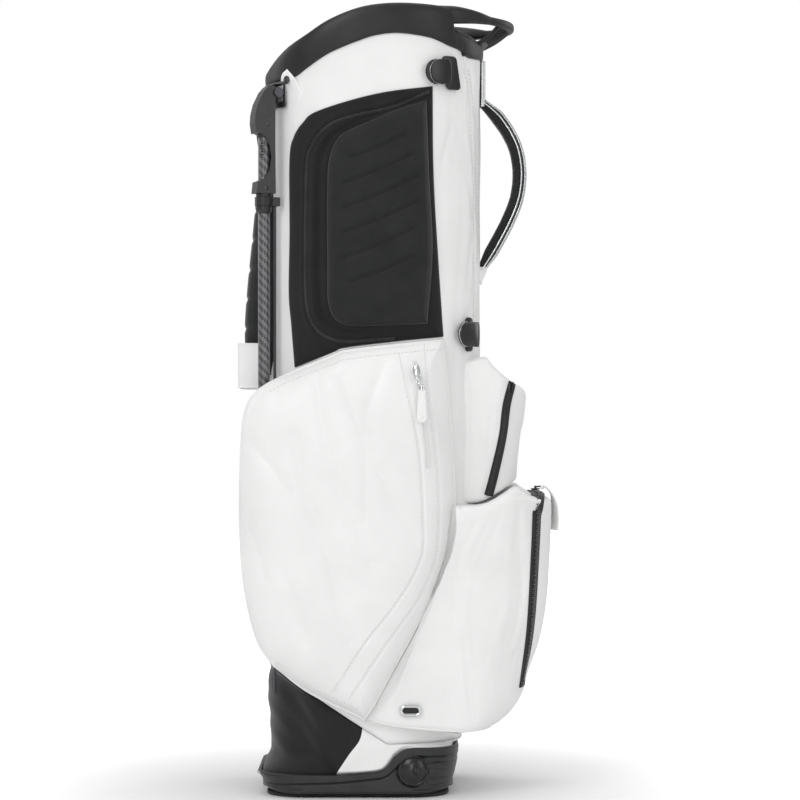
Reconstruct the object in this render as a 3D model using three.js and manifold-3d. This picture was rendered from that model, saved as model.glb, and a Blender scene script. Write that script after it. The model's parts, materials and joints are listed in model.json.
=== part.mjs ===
// Golf stand bag, in millimetres, +Z up.
// The origin is on the ground under the middle of the base. +X points to the spine side, where the
// carry handle and the ball pocket are. The legs fold against the -X side. The right side is -Y.

import * as THREE from 'three';
import { mergeVertices } from 'three/addons/utils/BufferGeometryUtils.js';
import Module from 'manifold-3d';

const wasm = await Module();
wasm.setup();

// ---- Driving dimensions ----------------------------------------------------------------------

const GAP = 0.5;

// The club tube is a rounded oval that widens towards the spine from the base upwards.
const HEIGHT = 900;
const TUBE_FRONT_X = -106;
const TUBE_SPINE_X_LOW = 117;
const TUBE_SPINE_X_HIGH = 140;
const TUBE_HALF_WIDTH_LOW = 98;
const TUBE_HALF_WIDTH_HIGH = 108;
const TUBE_FULL_DEPTH_Z = 330;
const TUBE_WALL = 3.5;
const COLLAR_INNER = -8;
const OVAL_POWER = 2.4;
const OVAL_POINTS = 32;
const TUBE_STATIONS = [0, 110, 220, 330, 900];

// The base turns about the bosses on its two sides.
const BASE_PIVOT = { x: 62, z: 32 };
const BASE_FRONT_X = -115.5;
const BASE_BACK_X = 113;
const BASE_HALF_WIDTH = 97;
const BASE_CORNER = 46;
const BASE_WALL = 4;
const SOLE_THICKNESS = 4;
const FLOOR_Z = 10;
const BOSS_RADIUS = 17.5;
const PIVOT_PIN_RADIUS = 4;

// The tube's lower rim is level at the back and slants up towards the legs from a knee.
const RIM_SLOPE = 0.625;
const RIM_LOW_Z = 62;
const RIM_AT_PIVOT_Z = 44;
const RIM_KNEE_X = BASE_PIVOT.x - (RIM_LOW_Z - RIM_AT_PIVOT_Z) / RIM_SLOPE;

// Each leg hangs from a pin; its swing plane is turned outwards so that the feet spread.
const LEG_PIVOT = { x: -95, y: 70, z: 801 };
const LEG_SPLAY = THREE.MathUtils.degToRad(22);
const LEG_LENGTH = 616;
const LEG_TUBE_RADIUS = 6.8;
const LEG_TUBE_X = -14;
const CASING_HALF_WIDTH = 9.5;
const ROD_RADIUS = 1.7;
const ROD_X = -1;
const ROD_PIVOT_Z = -124;
const ROD_END_Z = -684;
const LEG_PIN_RADIUS = 3;

// Strap clips sit on the corners between the sides and the spine.
const CLIP_RADIUS = 13.5;
const CLIP_THICKNESS = 6;
const CLIP_PLATE_THICKNESS = 3.5;

const RIGHT = -1;
const LEFT = 1;
const SIDES = { right: RIGHT, left: LEFT };

// ---- Materials -------------------------------------------------------------------------------

const materials = {
  whiteLeather: new THREE.MeshStandardMaterial({ color: 0xf3f3f1, roughness: 0.55, metalness: 0 }),
  blackFabric: new THREE.MeshStandardMaterial({ color: 0x111113, roughness: 0.85, metalness: 0 }),
  blackPad: new THREE.MeshStandardMaterial({ color: 0x17181a, roughness: 0.8, metalness: 0 }),
  blackRubber: new THREE.MeshStandardMaterial({ color: 0x141415, roughness: 0.6, metalness: 0 }),
  darkPlastic: new THREE.MeshStandardMaterial({ color: 0x26272a, roughness: 0.45, metalness: 0 }),
  blackPlastic: new THREE.MeshStandardMaterial({ color: 0x0e0e10, roughness: 0.35, metalness: 0 }),
  carbon: new THREE.MeshStandardMaterial({ color: 0x1b1c1f, roughness: 0.25, metalness: 0.2 }),
  springSteel: new THREE.MeshStandardMaterial({ color: 0x2a2b2e, roughness: 0.3, metalness: 0.9 }),
  chrome: new THREE.MeshStandardMaterial({ color: 0xc9ccd0, roughness: 0.15, metalness: 1 }),
  blackZip: new THREE.MeshStandardMaterial({ color: 0x0b0b0c, roughness: 0.4, metalness: 0 }),
  foam: new THREE.MeshStandardMaterial({ color: 0x3a3b3d, roughness: 0.95, metalness: 0 }),
};

const bag = new THREE.Group();

// ---- Solids ----------------------------------------------------------------------------------

/** Turns a closed three.js geometry into a solid that can be joined and cut. */
function solid(geometry) {
  const bare = geometry.clone();
  bare.deleteAttribute('normal');
  bare.deleteAttribute('uv');
  const merged = mergeVertices(bare, 1e-4);
  return new wasm.Manifold(new wasm.Mesh({
    numProp: 3,
    vertProperties: new Float32Array(merged.attributes.position.array),
    triVerts: new Uint32Array(merged.index.array),
  }));
}

/** Turns a solid back into a three.js geometry. */
function geometryOf(body) {
  const mesh = body.getMesh();
  const geometry = new THREE.BufferGeometry();
  geometry.setAttribute('position', new THREE.BufferAttribute(mesh.vertProperties, 3));
  geometry.setIndex(new THREE.BufferAttribute(mesh.triVerts, 1));
  geometry.computeVertexNormals();
  return geometry;
}

/** Adds one named piece of the bag. */
function addPiece(name, body, material, parent = bag) {
  const mesh = new THREE.Mesh(geometryOf(body), material);
  mesh.name = name;
  parent.add(mesh);
}

/** A closed outline made of stretches of points; a stretch of three or more points is smooth. */
function outline(...stretches) {
  const points = [];
  for (const stretch of stretches) {
    const corners = stretch.map(([x, y]) => new THREE.Vector2(x, y));
    if (corners.length < 3) {
      points.push(...corners);
      continue;
    }
    points.push(...new THREE.SplineCurve(corners).getPoints(corners.length + 2));
  }
  const distinct = points.filter((point, i) => i === 0 || point.distanceTo(points[i - 1]) > 0.01);
  if (distinct[0].distanceTo(distinct.at(-1)) < 0.01) {
    distinct.pop();
  }
  return new THREE.Shape(distinct);
}

/** A prism of a side-view outline (x, z) between two distances from the middle plane. */
function sidePrism(shape, side, innerY, outerY) {
  const depth = outerY - innerY;
  const geometry = new THREE.ExtrudeGeometry(shape, { depth, bevelEnabled: false, curveSegments: 6 });
  geometry.rotateX(Math.PI / 2);
  geometry.translate(0, side === RIGHT ? -innerY : outerY, 0);
  return solid(geometry);
}

/** A prism of a side-view outline across the whole width of the bag. */
function crossPrism(shape, halfWidth) {
  return sidePrism(shape, LEFT, -halfWidth, halfWidth);
}

/** A prism of a plan-view outline (x, y) between two heights. */
function planPrism(shape, lowZ, highZ) {
  const depth = highZ - lowZ;
  const geometry = new THREE.ExtrudeGeometry(shape, { depth, bevelEnabled: false, curveSegments: 8 });
  geometry.translate(0, 0, lowZ);
  return solid(geometry);
}

/** A box between two corners. */
function block([x0, y0, z0], [x1, y1, z1]) {
  const geometry = new THREE.BoxGeometry(x1 - x0, y1 - y0, z1 - z0);
  geometry.translate((x0 + x1) / 2, (y0 + y1) / 2, (z0 + z1) / 2);
  return solid(geometry);
}

/** A round bar along Y between two values of y. */
function crossBar(radius, x, z, y0, y1, segments = 20) {
  const geometry = new THREE.CylinderGeometry(radius, radius, Math.abs(y1 - y0), segments);
  geometry.translate(x, (y0 + y1) / 2, z);
  return solid(geometry);
}

/** A round bar along Z between two heights. */
function upright(radius, x, y, z0, z1, segments = 20) {
  const geometry = new THREE.CylinderGeometry(radius, radius, z1 - z0, segments);
  geometry.rotateX(Math.PI / 2);
  geometry.translate(x, y, (z0 + z1) / 2);
  return solid(geometry);
}

/** A bar of the given section swept along a curve through the given points. */
function sweptBar(section, points, steps) {
  const curve = new THREE.CatmullRomCurve3(points.map(([x, y, z]) => new THREE.Vector3(x, y, z)));
  return solid(new THREE.ExtrudeGeometry(section, { steps, bevelEnabled: false, extrudePath: curve }));
}

function ellipseSection(halfAcross, halfAlong, segments = 12) {
  const points = [];
  for (let i = 0; i < segments; i += 1) {
    const angle = (i / segments) * 2 * Math.PI;
    points.push(new THREE.Vector2(halfAcross * Math.cos(angle), halfAlong * Math.sin(angle)));
  }
  return new THREE.Shape(points);
}

// ---- The tube's surface ----------------------------------------------------------------------

/** Middle and half sizes of the tube's outer oval at a height; straight between the stations. */
function tubeSection(z) {
  const above = TUBE_STATIONS.findIndex((station, i) => i > 0 && z <= station);
  const upper = above === -1 ? TUBE_STATIONS.length - 1 : above;
  const high = TUBE_STATIONS[upper];
  const low = TUBE_STATIONS[upper - 1];
  const widening = THREE.MathUtils.mapLinear(
    z, low, high,
    THREE.MathUtils.smoothstep(low, 0, TUBE_FULL_DEPTH_Z),
    THREE.MathUtils.smoothstep(high, 0, TUBE_FULL_DEPTH_Z),
  );
  const spineX = THREE.MathUtils.lerp(TUBE_SPINE_X_LOW, TUBE_SPINE_X_HIGH, widening);
  return {
    middleX: (TUBE_FRONT_X + spineX) / 2,
    halfX: (spineX - TUBE_FRONT_X) / 2,
    halfY: THREE.MathUtils.lerp(TUBE_HALF_WIDTH_LOW, TUBE_HALF_WIDTH_HIGH, z / HEIGHT),
  };
}

/** A point on the unit oval; angle 0 is the spine. */
function ovalPoint(angle) {
  const bend = (value) => Math.sign(value) * Math.abs(value) ** (2 / OVAL_POWER);
  return new THREE.Vector2(bend(Math.cos(angle)), bend(Math.sin(angle)));
}

function unitOval() {
  const points = [];
  for (let i = 0; i < OVAL_POINTS; i += 1) {
    points.push(ovalPoint(((i + 0.5) / OVAL_POINTS) * 2 * Math.PI));
  }
  return new THREE.Shape(points);
}

/** A filled length of the tube, its surface moved outwards by an offset. */
function tubeCore(lowZ, highZ, offset) {
  const levels = [lowZ, ...TUBE_STATIONS.filter((z) => z > lowZ && z < highZ), highZ];
  const steps = levels.length - 1;
  const geometry = new THREE.ExtrudeGeometry(unitOval(), { depth: steps, steps, bevelEnabled: false });
  const position = geometry.attributes.position;
  for (let i = 0; i < position.count; i += 1) {
    const z = levels[Math.round(position.getZ(i))];
    const { middleX, halfX, halfY } = tubeSection(z);
    const x = middleX + position.getX(i) * (halfX + offset);
    const y = position.getY(i) * (halfY + offset);
    position.setXYZ(i, x, y, z);
  }
  return solid(geometry);
}

/** A length of the tube's wall between two offsets from its outer surface. */
function tubeShell(lowZ, highZ, inner, outer) {
  return tubeCore(lowZ, highZ, outer).subtract(tubeCore(lowZ - 1, highZ + 1, inner));
}

/** The place and heading of a fitting on the tube's corner; local -Y points outwards. */
function onTube(side, angleDeg, z, offset) {
  const angle = THREE.MathUtils.degToRad(angleDeg);
  const { middleX, halfX, halfY } = tubeSection(z);
  const at = (a) => {
    const unit = ovalPoint(a);
    return new THREE.Vector2(middleX + unit.x * halfX, unit.y * halfY);
  };
  const point = at(angle);
  const tangent = at(angle + 0.01).sub(at(angle - 0.01)).normalize();
  const outward = new THREE.Vector2(tangent.y, -tangent.x);
  point.addScaledVector(outward, offset);
  const place = new THREE.Group();
  place.position.set(point.x, side * point.y, z);
  place.rotation.z = Math.atan2(outward.x, -side * outward.y);
  bag.add(place);
  return place;
}

const wholeTube = tubeCore(20, 895, GAP);

// ---- Shared side-view lines ------------------------------------------------------------------

const COLLAR_LOWER_EDGE = [
  [-84, 816], [-72, 820], [-59, 829], [-34, 843], [2, 857], [23, 863], [47, 865], [82, 861],
  [105, 851], [119, 845], [133, 834],
];
const POCKET_TOP_EDGE = [
  [-113, 464], [-98, 473.5], [-73, 486], [-29, 503], [-15, 508.5], [38, 515], [96, 521],
];
const POCKET_SEAM = [[6, 88], [19, 108], [35.5, 139], [68, 198], [91.5, 247], [107, 288], [111, 331]];

const shifted = (points, dx, dz) => points.map(([x, z]) => [x + dx, z + dz]);
const reversed = (points) => [...points].reverse();

/** Height of the tube's slanted lower rim, which leaves room for the base to swing up. */
const rimZ = (x) => Math.max(RIM_LOW_Z, RIM_AT_PIVOT_Z + (BASE_PIVOT.x - x) * RIM_SLOPE);

/** Everything above the slanted rim, moved down by a drop. */
function aboveRim(drop) {
  const rim = [[-150, rimZ(-150)], [RIM_KNEE_X, RIM_LOW_Z], [150, RIM_LOW_Z]];
  const line = shifted(rim, 0, -drop);
  return crossPrism(outline([line[0], line[1]], [line[2], [150, 1000]], [[-150, 1000]]), 200);
}

// ---- Tube, collar and dividers ---------------------------------------------------------------

function addMainTube() {
  const belowCollar = outline(
    [[-150, 0], [150, 0]],
    [[150, 833]],
    shifted(reversed(COLLAR_LOWER_EDGE), 0, -GAP),
    [[-150, 815]],
  );
  const body = tubeShell(30, 880, -TUBE_WALL, 0)
    .intersect(crossPrism(belowCollar, 200))
    .intersect(aboveRim(0));
  addPiece('main_tube', body, materials.whiteLeather);
}

function addCollar() {
  const top = [
    [-112, 816], [-104, 834], [-92, 846], [-80, 855], [-59, 866], [-37, 880], [-10, 891], [15, 897],
    [47, 900], [110, 898],
  ];
  const spineStep = [[113, 880], [122, 866], [150, 860]];
  const collarOutline = outline(top, spineStep, [[150, 834]], reversed(COLLAR_LOWER_EDGE));
  const spigotOutline = outline(
    shifted(top, 0, -6), shifted(spineStep, 0, -6), [[150, 820]],
    shifted(reversed(COLLAR_LOWER_EDGE), 0, -14), [[-112, 802]],
  );
  const band = tubeShell(790, 905, COLLAR_INNER, 3).intersect(crossPrism(collarOutline, 200));
  const spigot = tubeShell(790, 905, COLLAR_INNER, -TUBE_WALL - GAP)
    .intersect(crossPrism(spigotOutline, 200));
  const armY = 74;
  const grabLoop = sweptBar(ellipseSection(8, 6.5), [
    [92, -armY - 6, 886], [125, -armY + 4, 885], [155, -armY + 20, 880], [172, -armY + 46, 875],
    [176, 0, 873],
    [172, armY - 46, 875], [155, armY - 20, 880], [125, armY - 4, 885], [92, armY + 6, 886],
  ], 30);
  const clubSpace = tubeCore(780, 920, COLLAR_INNER);
  addPiece('top_collar', band.add(spigot).add(grabLoop.subtract(clubSpace)), materials.blackRubber);
}

function addDividers() {
  const cross = (thickness) => {
    const middleX = tubeSection(800).middleX;
    const along = block([-200, -thickness, 0], [200, thickness, 1000]);
    return along.add(block([middleX - thickness, -200, 0], [middleX + thickness, 200, 1000]));
  };
  const inside = tubeCore(20, 900, COLLAR_INNER - GAP);
  const topCross = cross(5).intersect(inside).intersect(block([-200, -200, 800], [200, 200, 846]));
  const panels = cross(1).intersect(inside).intersect(aboveRim(-2));
  const lower = panels.intersect(block([-200, -200, 20], [200, 200, 801]));
  addPiece('club_dividers', topCross.add(lower), materials.blackFabric);
}

function addSideStays() {
  const innerY = 79;
  const outerY = 83;
  for (const [name, side] of Object.entries(SIDES)) {
    const barOutline = outline([[54, 32], [70, 32]], [[70, 790], [54, 790]]);
    const bar = sidePrism(barOutline, side, innerY, outerY);
    const eye = crossBar(12, BASE_PIVOT.x, BASE_PIVOT.z, side * innerY, side * outerY);
    const hole = crossBar(PIVOT_PIN_RADIUS + 0.3, BASE_PIVOT.x, BASE_PIVOT.z, side * 60, side * 95);
    addPiece(`${name}_side_stay`, bar.add(eye).subtract(hole), materials.springSteel);
  }
}

// ---- Leg side --------------------------------------------------------------------------------

function addHipPad() {
  const padOutline = outline(
    [[-100, 716], [-112, 712], [-120, 690], [-125, 640], [-134, 530], [-132, 500], [-118, 482]],
    [[-100, 480]],
  );
  const pad = crossPrism(padOutline, 46).subtract(wholeTube);
  addPiece('hip_pad', pad, materials.whiteLeather);
  const strap = block([-141, -50, 462], [-112, 50, 518])
    .subtract(block([-137, -46.5, 450], [-100, 46.5, 530]));
  addPiece('leg_strap_band', strap, materials.whiteLeather);
}

/** Moves a solid from a leg's own frame to the bag's frame. */
function fromLegFrame(geometry, side) {
  const placed = geometry.clone();
  placed.rotateZ(-side * LEG_SPLAY);
  placed.translate(LEG_PIVOT.x, side * LEG_PIVOT.y, LEG_PIVOT.z);
  return solid(placed);
}

function addLegHousing() {
  let housing = tubeShell(785, 814.5, GAP, 5.5).intersect(block([-130, -120, 780], [-84, 120, 820]));
  for (const side of Object.values(SIDES)) {
    const inward = -side;
    const arm = block([0, -3, -7], [18, 3, 7]).add(crossBar(7, 0, 0, -3, 3, 16));
    const armGeometry = geometryOf(arm).translate(0, inward * 13.5, 0);
    const legRoom = geometryOf(crossBar(11.5, 0, 0, -10.2, 10.2, 16));
    const pinHole = geometryOf(crossBar(LEG_PIN_RADIUS + 0.3, 0, 0, -22, 22, 16));
    housing = housing
      .subtract(fromLegFrame(legRoom, side))
      .add(fromLegFrame(armGeometry, side))
      .subtract(fromLegFrame(pinHole, side));
  }
  addPiece('leg_hinge_housing', housing.subtract(wholeTube), materials.darkPlastic);
}

function legCasing() {
  const shell = outline(
    [[-3, 6.5], [-9, 8], [-16, 3], [-25, -15], [-28, -31], [-27, -43], [-24, -57], [-24, -92], [-26, -115]],
    [[-3, -115]],
    [[-3.5, -60], [-3.5, -14]],
  );
  const opening = new THREE.Shape().absellipse(-24, -74, 15.5, 28, 0, 2 * Math.PI);
  return crossPrism(shell, CASING_HALF_WIDTH)
    .add(crossBar(6.5, 0, 0, -CASING_HALF_WIDTH, CASING_HALF_WIDTH))
    .add(block([-8, -CASING_HALF_WIDTH, -6], [0, CASING_HALF_WIDTH, 6]))
    .subtract(crossPrism(opening, 20))
    .subtract(upright(LEG_TUBE_RADIUS + 0.4, LEG_TUBE_X, 0, -130, -41))
    .subtract(crossBar(LEG_PIN_RADIUS + 0.3, 0, 0, -20, 20, 16));
}

function rodCollar() {
  const high = -119;
  const low = -129;
  return upright(10.5, LEG_TUBE_X, 0, low, high)
    .add(block([-10, -6, low], [3.5, 6, high]))
    .subtract(block([-5.4, -2.9, low - 1], [5, 2.9, high + 1]))
    .subtract(upright(LEG_TUBE_RADIUS + 0.3, LEG_TUBE_X, 0, low - 1, high + 1))
    .add(crossBar(1.4, ROD_X, ROD_PIVOT_Z, -4, 4, 12));
}

function actuatorRod() {
  return crossBar(4, ROD_X, ROD_PIVOT_Z, -2.5, 2.5, 16)
    .add(upright(ROD_RADIUS, ROD_X, 0, ROD_END_Z, ROD_PIVOT_Z - 2, 10))
    .subtract(crossBar(1.75, ROD_X, ROD_PIVOT_Z, -4, 4, 12));
}

function legTube() {
  const tubeTop = -42;
  const tubeLow = -LEG_LENGTH + 8;
  return upright(LEG_TUBE_RADIUS, LEG_TUBE_X, 0, tubeLow, tubeTop)
    .subtract(upright(LEG_TUBE_RADIUS - 1.5, LEG_TUBE_X, 0, tubeLow - 1, tubeTop + 1));
}

function legFoot() {
  const profile = new THREE.Path();
  const bottom = -LEG_LENGTH;
  const top = bottom + 44;
  profile.moveTo(0, bottom);
  profile.lineTo(4, bottom);
  profile.quadraticCurveTo(9.5, bottom + 1, 9.5, bottom + 9);
  profile.lineTo(8.8, top);
  profile.lineTo(LEG_TUBE_RADIUS + 0.4, top);
  profile.lineTo(LEG_TUBE_RADIUS + 0.4, bottom + 7);
  profile.lineTo(0, bottom + 7);
  const geometry = new THREE.LatheGeometry(profile.getPoints(5), 20);
  geometry.rotateX(Math.PI / 2);
  geometry.translate(LEG_TUBE_X, 0, 0);
  return solid(geometry);
}

function legPin(side) {
  const shank = crossBar(LEG_PIN_RADIUS, 0, 0, side * 10, -side * 16.5, 16);
  return shank.add(crossBar(5.5, 0, 0, side * 9.9, side * 12, 16));
}

function addLegs() {
  for (const [name, side] of Object.entries(SIDES)) {
    const leg = new THREE.Group();
    leg.position.set(LEG_PIVOT.x, side * LEG_PIVOT.y, LEG_PIVOT.z);
    leg.rotation.z = -side * LEG_SPLAY;
    bag.add(leg);
    addPiece(`${name}_leg_casing`, legCasing(), materials.darkPlastic, leg);
    addPiece(`${name}_leg_tube`, legTube(), materials.carbon, leg);
    addPiece(`${name}_rod_collar`, rodCollar(), materials.darkPlastic, leg);
    addPiece(`${name}_leg_foot`, legFoot(), materials.blackRubber, leg);
    addPiece(`${name}_actuator_rod`, actuatorRod(), materials.springSteel, leg);
    addPiece(`${name}_leg_pin`, legPin(side), materials.chrome, leg);
  }
}

// ---- Side panels and pockets -----------------------------------------------------------------

function addUpperPanels() {
  const panelOutline = outline(
    [[84, 806], [19, 796], [-46, 778], [-63, 766], [-74, 750], [-79, 725], [-79, 640], [-80, 573],
      [-77, 536], [-73, 487.6]],
    shifted(POCKET_TOP_EDGE.slice(3), 0, 1.6),
    [[90, 618], [85, 709]],
  );
  const padOutline = outline(
    [[77, 790], [40, 777], [-7, 757], [-24, 745], [-33, 722], [-35, 690], [-35, 600], [-34, 560],
      [-24, 540], [0, 534], [78, 537]],
    [[84, 620], [80, 709]],
  );
  const panelShell = tubeShell(480, 815, GAP, 5);
  const padShell = tubeShell(480, 815, 5 + GAP, 12);
  for (const [name, side] of Object.entries(SIDES)) {
    const panel = panelShell.intersect(sidePrism(panelOutline, side, 30, 150));
    addPiece(`${name}_upper_panel`, panel, materials.blackFabric);
    const pad = padShell.intersect(sidePrism(padOutline, side, 30, 150));
    addPiece(`${name}_moulded_pad`, pad, materials.blackPad);
  }
}

/** Plan view of a side pocket; its front stands clear of the leg that swings past it. */
function sidePocketPlan(side, offset) {
  const clearOfLeg = side * 98;
  const shape = new THREE.Shape();
  shape.moveTo(-137, clearOfLeg);
  shape.lineTo(-137, side * (112 + offset));
  shape.quadraticCurveTo(-128, side * (134 + offset), -80, side * (140 + offset));
  shape.lineTo(10, side * (142 + offset));
  shape.quadraticCurveTo(85, side * (138 + offset), 113, side * (106 + offset));
  shape.lineTo(113, side * 30);
  shape.lineTo(-88, side * 30);
  shape.lineTo(-88, clearOfLeg);
  return shape;
}

/** Thin layer that lies on a pocket whose plan view grows with an offset. */
function zipLayer(plan, lowZ, highZ) {
  return planPrism(plan(GAP + 1.6), lowZ, highZ).subtract(planPrism(plan(GAP), lowZ - 1, highZ + 1));
}

function addApparelPockets() {
  const pocketOutline = outline(
    POCKET_TOP_EDGE,
    [[102, 472], [109, 381], [110.5, 335]],
    reversed(POCKET_SEAM),
    [[-2, 94], [-45.5, 114], [-72.5, 130], [-97, 151], [-116, 182], [-130, 243], [-134.5, 315], [-132, 414],
      [-125, 449], [-113, 464]],
  );
  const zipOutline = outline([[60, 496], [66, 497]], [[78.5, 400], [80, 374]], [[74, 373.5], [72.5, 400]]);
  for (const [name, side] of Object.entries(SIDES)) {
    const pocket = sidePrism(pocketOutline, side, 25, 150)
      .intersect(planPrism(sidePocketPlan(side, 0), 60, 540))
      .subtract(wholeTube);
    addPiece(`${name}_apparel_pocket`, pocket, materials.whiteLeather);
    const layer = zipLayer((offset) => sidePocketPlan(side, offset), 350, 510);
    const zip = layer.intersect(sidePrism(zipOutline, side, 115, 150));
    addPiece(`${name}_apparel_zip`, zip, materials.whiteLeather);
    addApparelSlider(name, side);
  }
}

/** The slider closes at the top of the zip, and its leather pull hangs from it. */
function addApparelSlider(name, side) {
  const sliderOutline = outline([[62, 492], [69.5, 492]], [[71, 478], [70.5, 468]], [[66, 468], [62, 480]]);
  addPiece(`${name}_apparel_slider`, sidePrism(sliderOutline, side, 137, 141), materials.chrome);
  const pullOutline = outline(
    [[65.5, 467.4], [71, 467.4]], [[77.5, 429], [75, 426]], [[69, 426], [66.5, 429]],
  );
  addPiece(`${name}_apparel_pull`, sidePrism(pullOutline, side, 137.5, 140), materials.whiteLeather);
}

function valuablesPlan(offset) {
  const halfWidth = 64 + offset;
  const frontX = 195 + offset;
  const shape = new THREE.Shape();
  shape.moveTo(90, -halfWidth);
  shape.lineTo(140, -halfWidth);
  shape.quadraticCurveTo(frontX - 3, 2 - halfWidth, frontX, -14);
  shape.lineTo(frontX, 14);
  shape.quadraticCurveTo(frontX - 3, halfWidth - 2, 140, halfWidth);
  shape.lineTo(90, halfWidth);
  return shape;
}

function addValuablesPocket() {
  const pocketOutline = outline(
    [[113, 494], [143, 500.5]],
    [[152, 492], [164, 481], [174, 474]],
    [[189, 468], [193.6, 459]],
    [[190, 427], [186.6, 412.5], [183, 381], [182, 356]],
    [[143, 335.5], [113, 334]],
  );
  const pocket = crossPrism(pocketOutline, 100).intersect(planPrism(valuablesPlan(0), 320, 510));
  addPiece('valuables_pocket', pocket.subtract(wholeTube), materials.whiteLeather);
  const zipOutline = outline(
    [[178.5, 470], [173, 448], [168, 410], [158.5, 368], [152, 341]],
    [[144, 342], [151.5, 370], [160, 412], [164, 446], [171, 471.5]],
  );
  const sliderOutline = outline([[170, 472], [178, 471]], [[175, 456], [169, 457]]);
  const layer = zipLayer(valuablesPlan, 335, 480);
  for (const [name, side] of Object.entries(SIDES)) {
    const zip = layer.intersect(sidePrism(zipOutline, side, 30, 80));
    addPiece(`${name}_valuables_zip`, zip, materials.blackZip);
    const slider = sidePrism(sliderOutline, side, 30, 80)
      .intersect(planPrism(valuablesPlan(5.5), 440, 480))
      .subtract(planPrism(valuablesPlan(2.6), 430, 490));
    addPiece(`${name}_valuables_slider`, slider, materials.blackZip);
  }
}

function ballPocketPlan(offset) {
  const halfWidth = 110 + offset;
  const frontX = 223.5 + offset;
  const shape = new THREE.Shape();
  shape.moveTo(0, -halfWidth);
  shape.lineTo(110, -halfWidth);
  shape.quadraticCurveTo(frontX - 10, 6 - halfWidth, frontX, -20);
  shape.lineTo(frontX, 20);
  shape.quadraticCurveTo(frontX - 10, halfWidth - 6, 110, halfWidth);
  shape.lineTo(0, halfWidth);
  return shape;
}

function addBallPocket() {
  const topLine = [[113, 331.5], [143, 333.5], [182, 353], [188, 349], [200, 342.5], [214, 340]];
  const frontLine = [
    [223, 331], [219.5, 260], [216, 214], [208, 172], [196, 138], [189, 112], [176, 92], [161, 80],
    [148, 75], [135, 73.5], [114, 75], [44, 81], [14, 87],
  ];
  const pocketOutline = outline(topLine, frontLine, shifted(POCKET_SEAM, 1.2, 0));
  const sideView = (offset) => crossPrism(outline(
    shifted(topLine, 0, offset), shifted(frontLine, offset, 0), shifted(POCKET_SEAM, 1.2, 0),
  ), 150);
  const pocket = crossPrism(pocketOutline, 150).intersect(planPrism(ballPocketPlan(0), 50, 370));
  addPiece('ball_pocket', pocket.subtract(wholeTube), materials.whiteLeather);
  const zipOutline = outline(
    [[214.5, 350], [207, 325], [205, 276], [199, 191.5], [188, 122]],
    [[182, 125], [190, 191.5], [194.5, 271], [196.5, 326.5], [198, 350]],
  );
  const grown = sideView(GAP + 1.6).intersect(planPrism(ballPocketPlan(GAP + 1.6), 50, 370));
  const cleared = sideView(GAP).intersect(planPrism(ballPocketPlan(GAP), 50, 370));
  const zip = grown.subtract(cleared).intersect(crossPrism(zipOutline, 150));
  addPiece('ball_zip', zip, materials.blackZip);
  const slider = crossPrism(outline([[200, 345.5], [210.5, 344.6]], [[210.5, 349], [200, 350]]), 6);
  addPiece('ball_zip_slider', slider, materials.blackZip);
  const pullOutline = outline(
    [[211.6, 349], [219, 347.5], [225, 337], [227.5, 310], [227, 297]],
    [[224.8, 297], [225.2, 310], [224.2, 334], [219, 344], [211.6, 346.4]],
  );
  addPiece('ball_zip_pull', crossPrism(pullOutline, 9), materials.whiteLeather);
}

/** Small metal drain eyelet with a slot. */
function addEyelet() {
  const stadium = (halfLength, radius) => {
    const shape = new THREE.Shape();
    const [middleX, middleZ] = [59, 101.5];
    shape.absarc(middleX + halfLength, middleZ, radius, -Math.PI / 2, Math.PI / 2);
    shape.absarc(middleX - halfLength, middleZ, radius, Math.PI / 2, (3 * Math.PI) / 2);
    return shape;
  };
  const ring = sidePrism(stadium(5.75, 6.75), RIGHT, 110 + GAP, 112.5);
  addPiece('right_eyelet', ring.subtract(sidePrism(stadium(6.25, 2.5), RIGHT, 100, 120)), materials.chrome);
}

// ---- Handle and clips ------------------------------------------------------------------------

function addCarryHandle() {
  const grip = sweptBar(ellipseSection(11, 8), [
    [152, 0, 795], [159, 0, 785], [174, 0, 763], [183.5, 0, 740], [186.5, 0, 714], [182.5, 0, 685],
    [172, 0, 658], [157, 0, 628], [153, 0, 606],
  ], 22);
  addPiece('carry_handle', grip, materials.blackRubber);
  const upperAnchor = block([136, -13, 797], [149, 13, 830]).subtract(wholeTube);
  addPiece('upper_handle_anchor', upperAnchor, materials.blackPlastic);
  const lowerAnchor = block([136, -13, 586], [151, 13, 604]).subtract(wholeTube);
  addPiece('lower_handle_anchor', lowerAnchor, materials.blackPlastic);
}

function addStrapClips() {
  const clips = [
    { level: 'upper', angle: 57, z: 822, halfWidth: 9, halfHeight: 19, plateShift: 14, puckShift: -6 },
    { level: 'lower', angle: 36, z: 526, halfWidth: 6, halfHeight: 19.5, plateShift: 7, puckShift: -3 },
  ];
  for (const clip of clips) {
    for (const [name, side] of Object.entries(SIDES)) {
      const place = onTube(side, clip.angle, clip.z, GAP);
      const towardsSpine = -side;
      const plateX = towardsSpine * clip.plateShift;
      const puckX = towardsSpine * clip.puckShift;
      const plate = block(
        [plateX - clip.halfWidth, -CLIP_PLATE_THICKNESS, -clip.halfHeight],
        [plateX + clip.halfWidth, 0, clip.halfHeight],
      ).add(crossBar(CLIP_RADIUS - 2, puckX, 0, -CLIP_PLATE_THICKNESS, 0));
      addPiece(`${name}_${clip.level}_clip_plate`, plate, materials.blackPlastic, place);
      const puckInner = -CLIP_PLATE_THICKNESS - GAP;
      const puck = crossBar(CLIP_RADIUS, puckX, 0, puckInner - CLIP_THICKNESS, puckInner, 24);
      addPiece(`${name}_${clip.level}_clip_puck`, puck, materials.blackPlastic, place);
    }
  }
}

// ---- Base ------------------------------------------------------------------------------------

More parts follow.
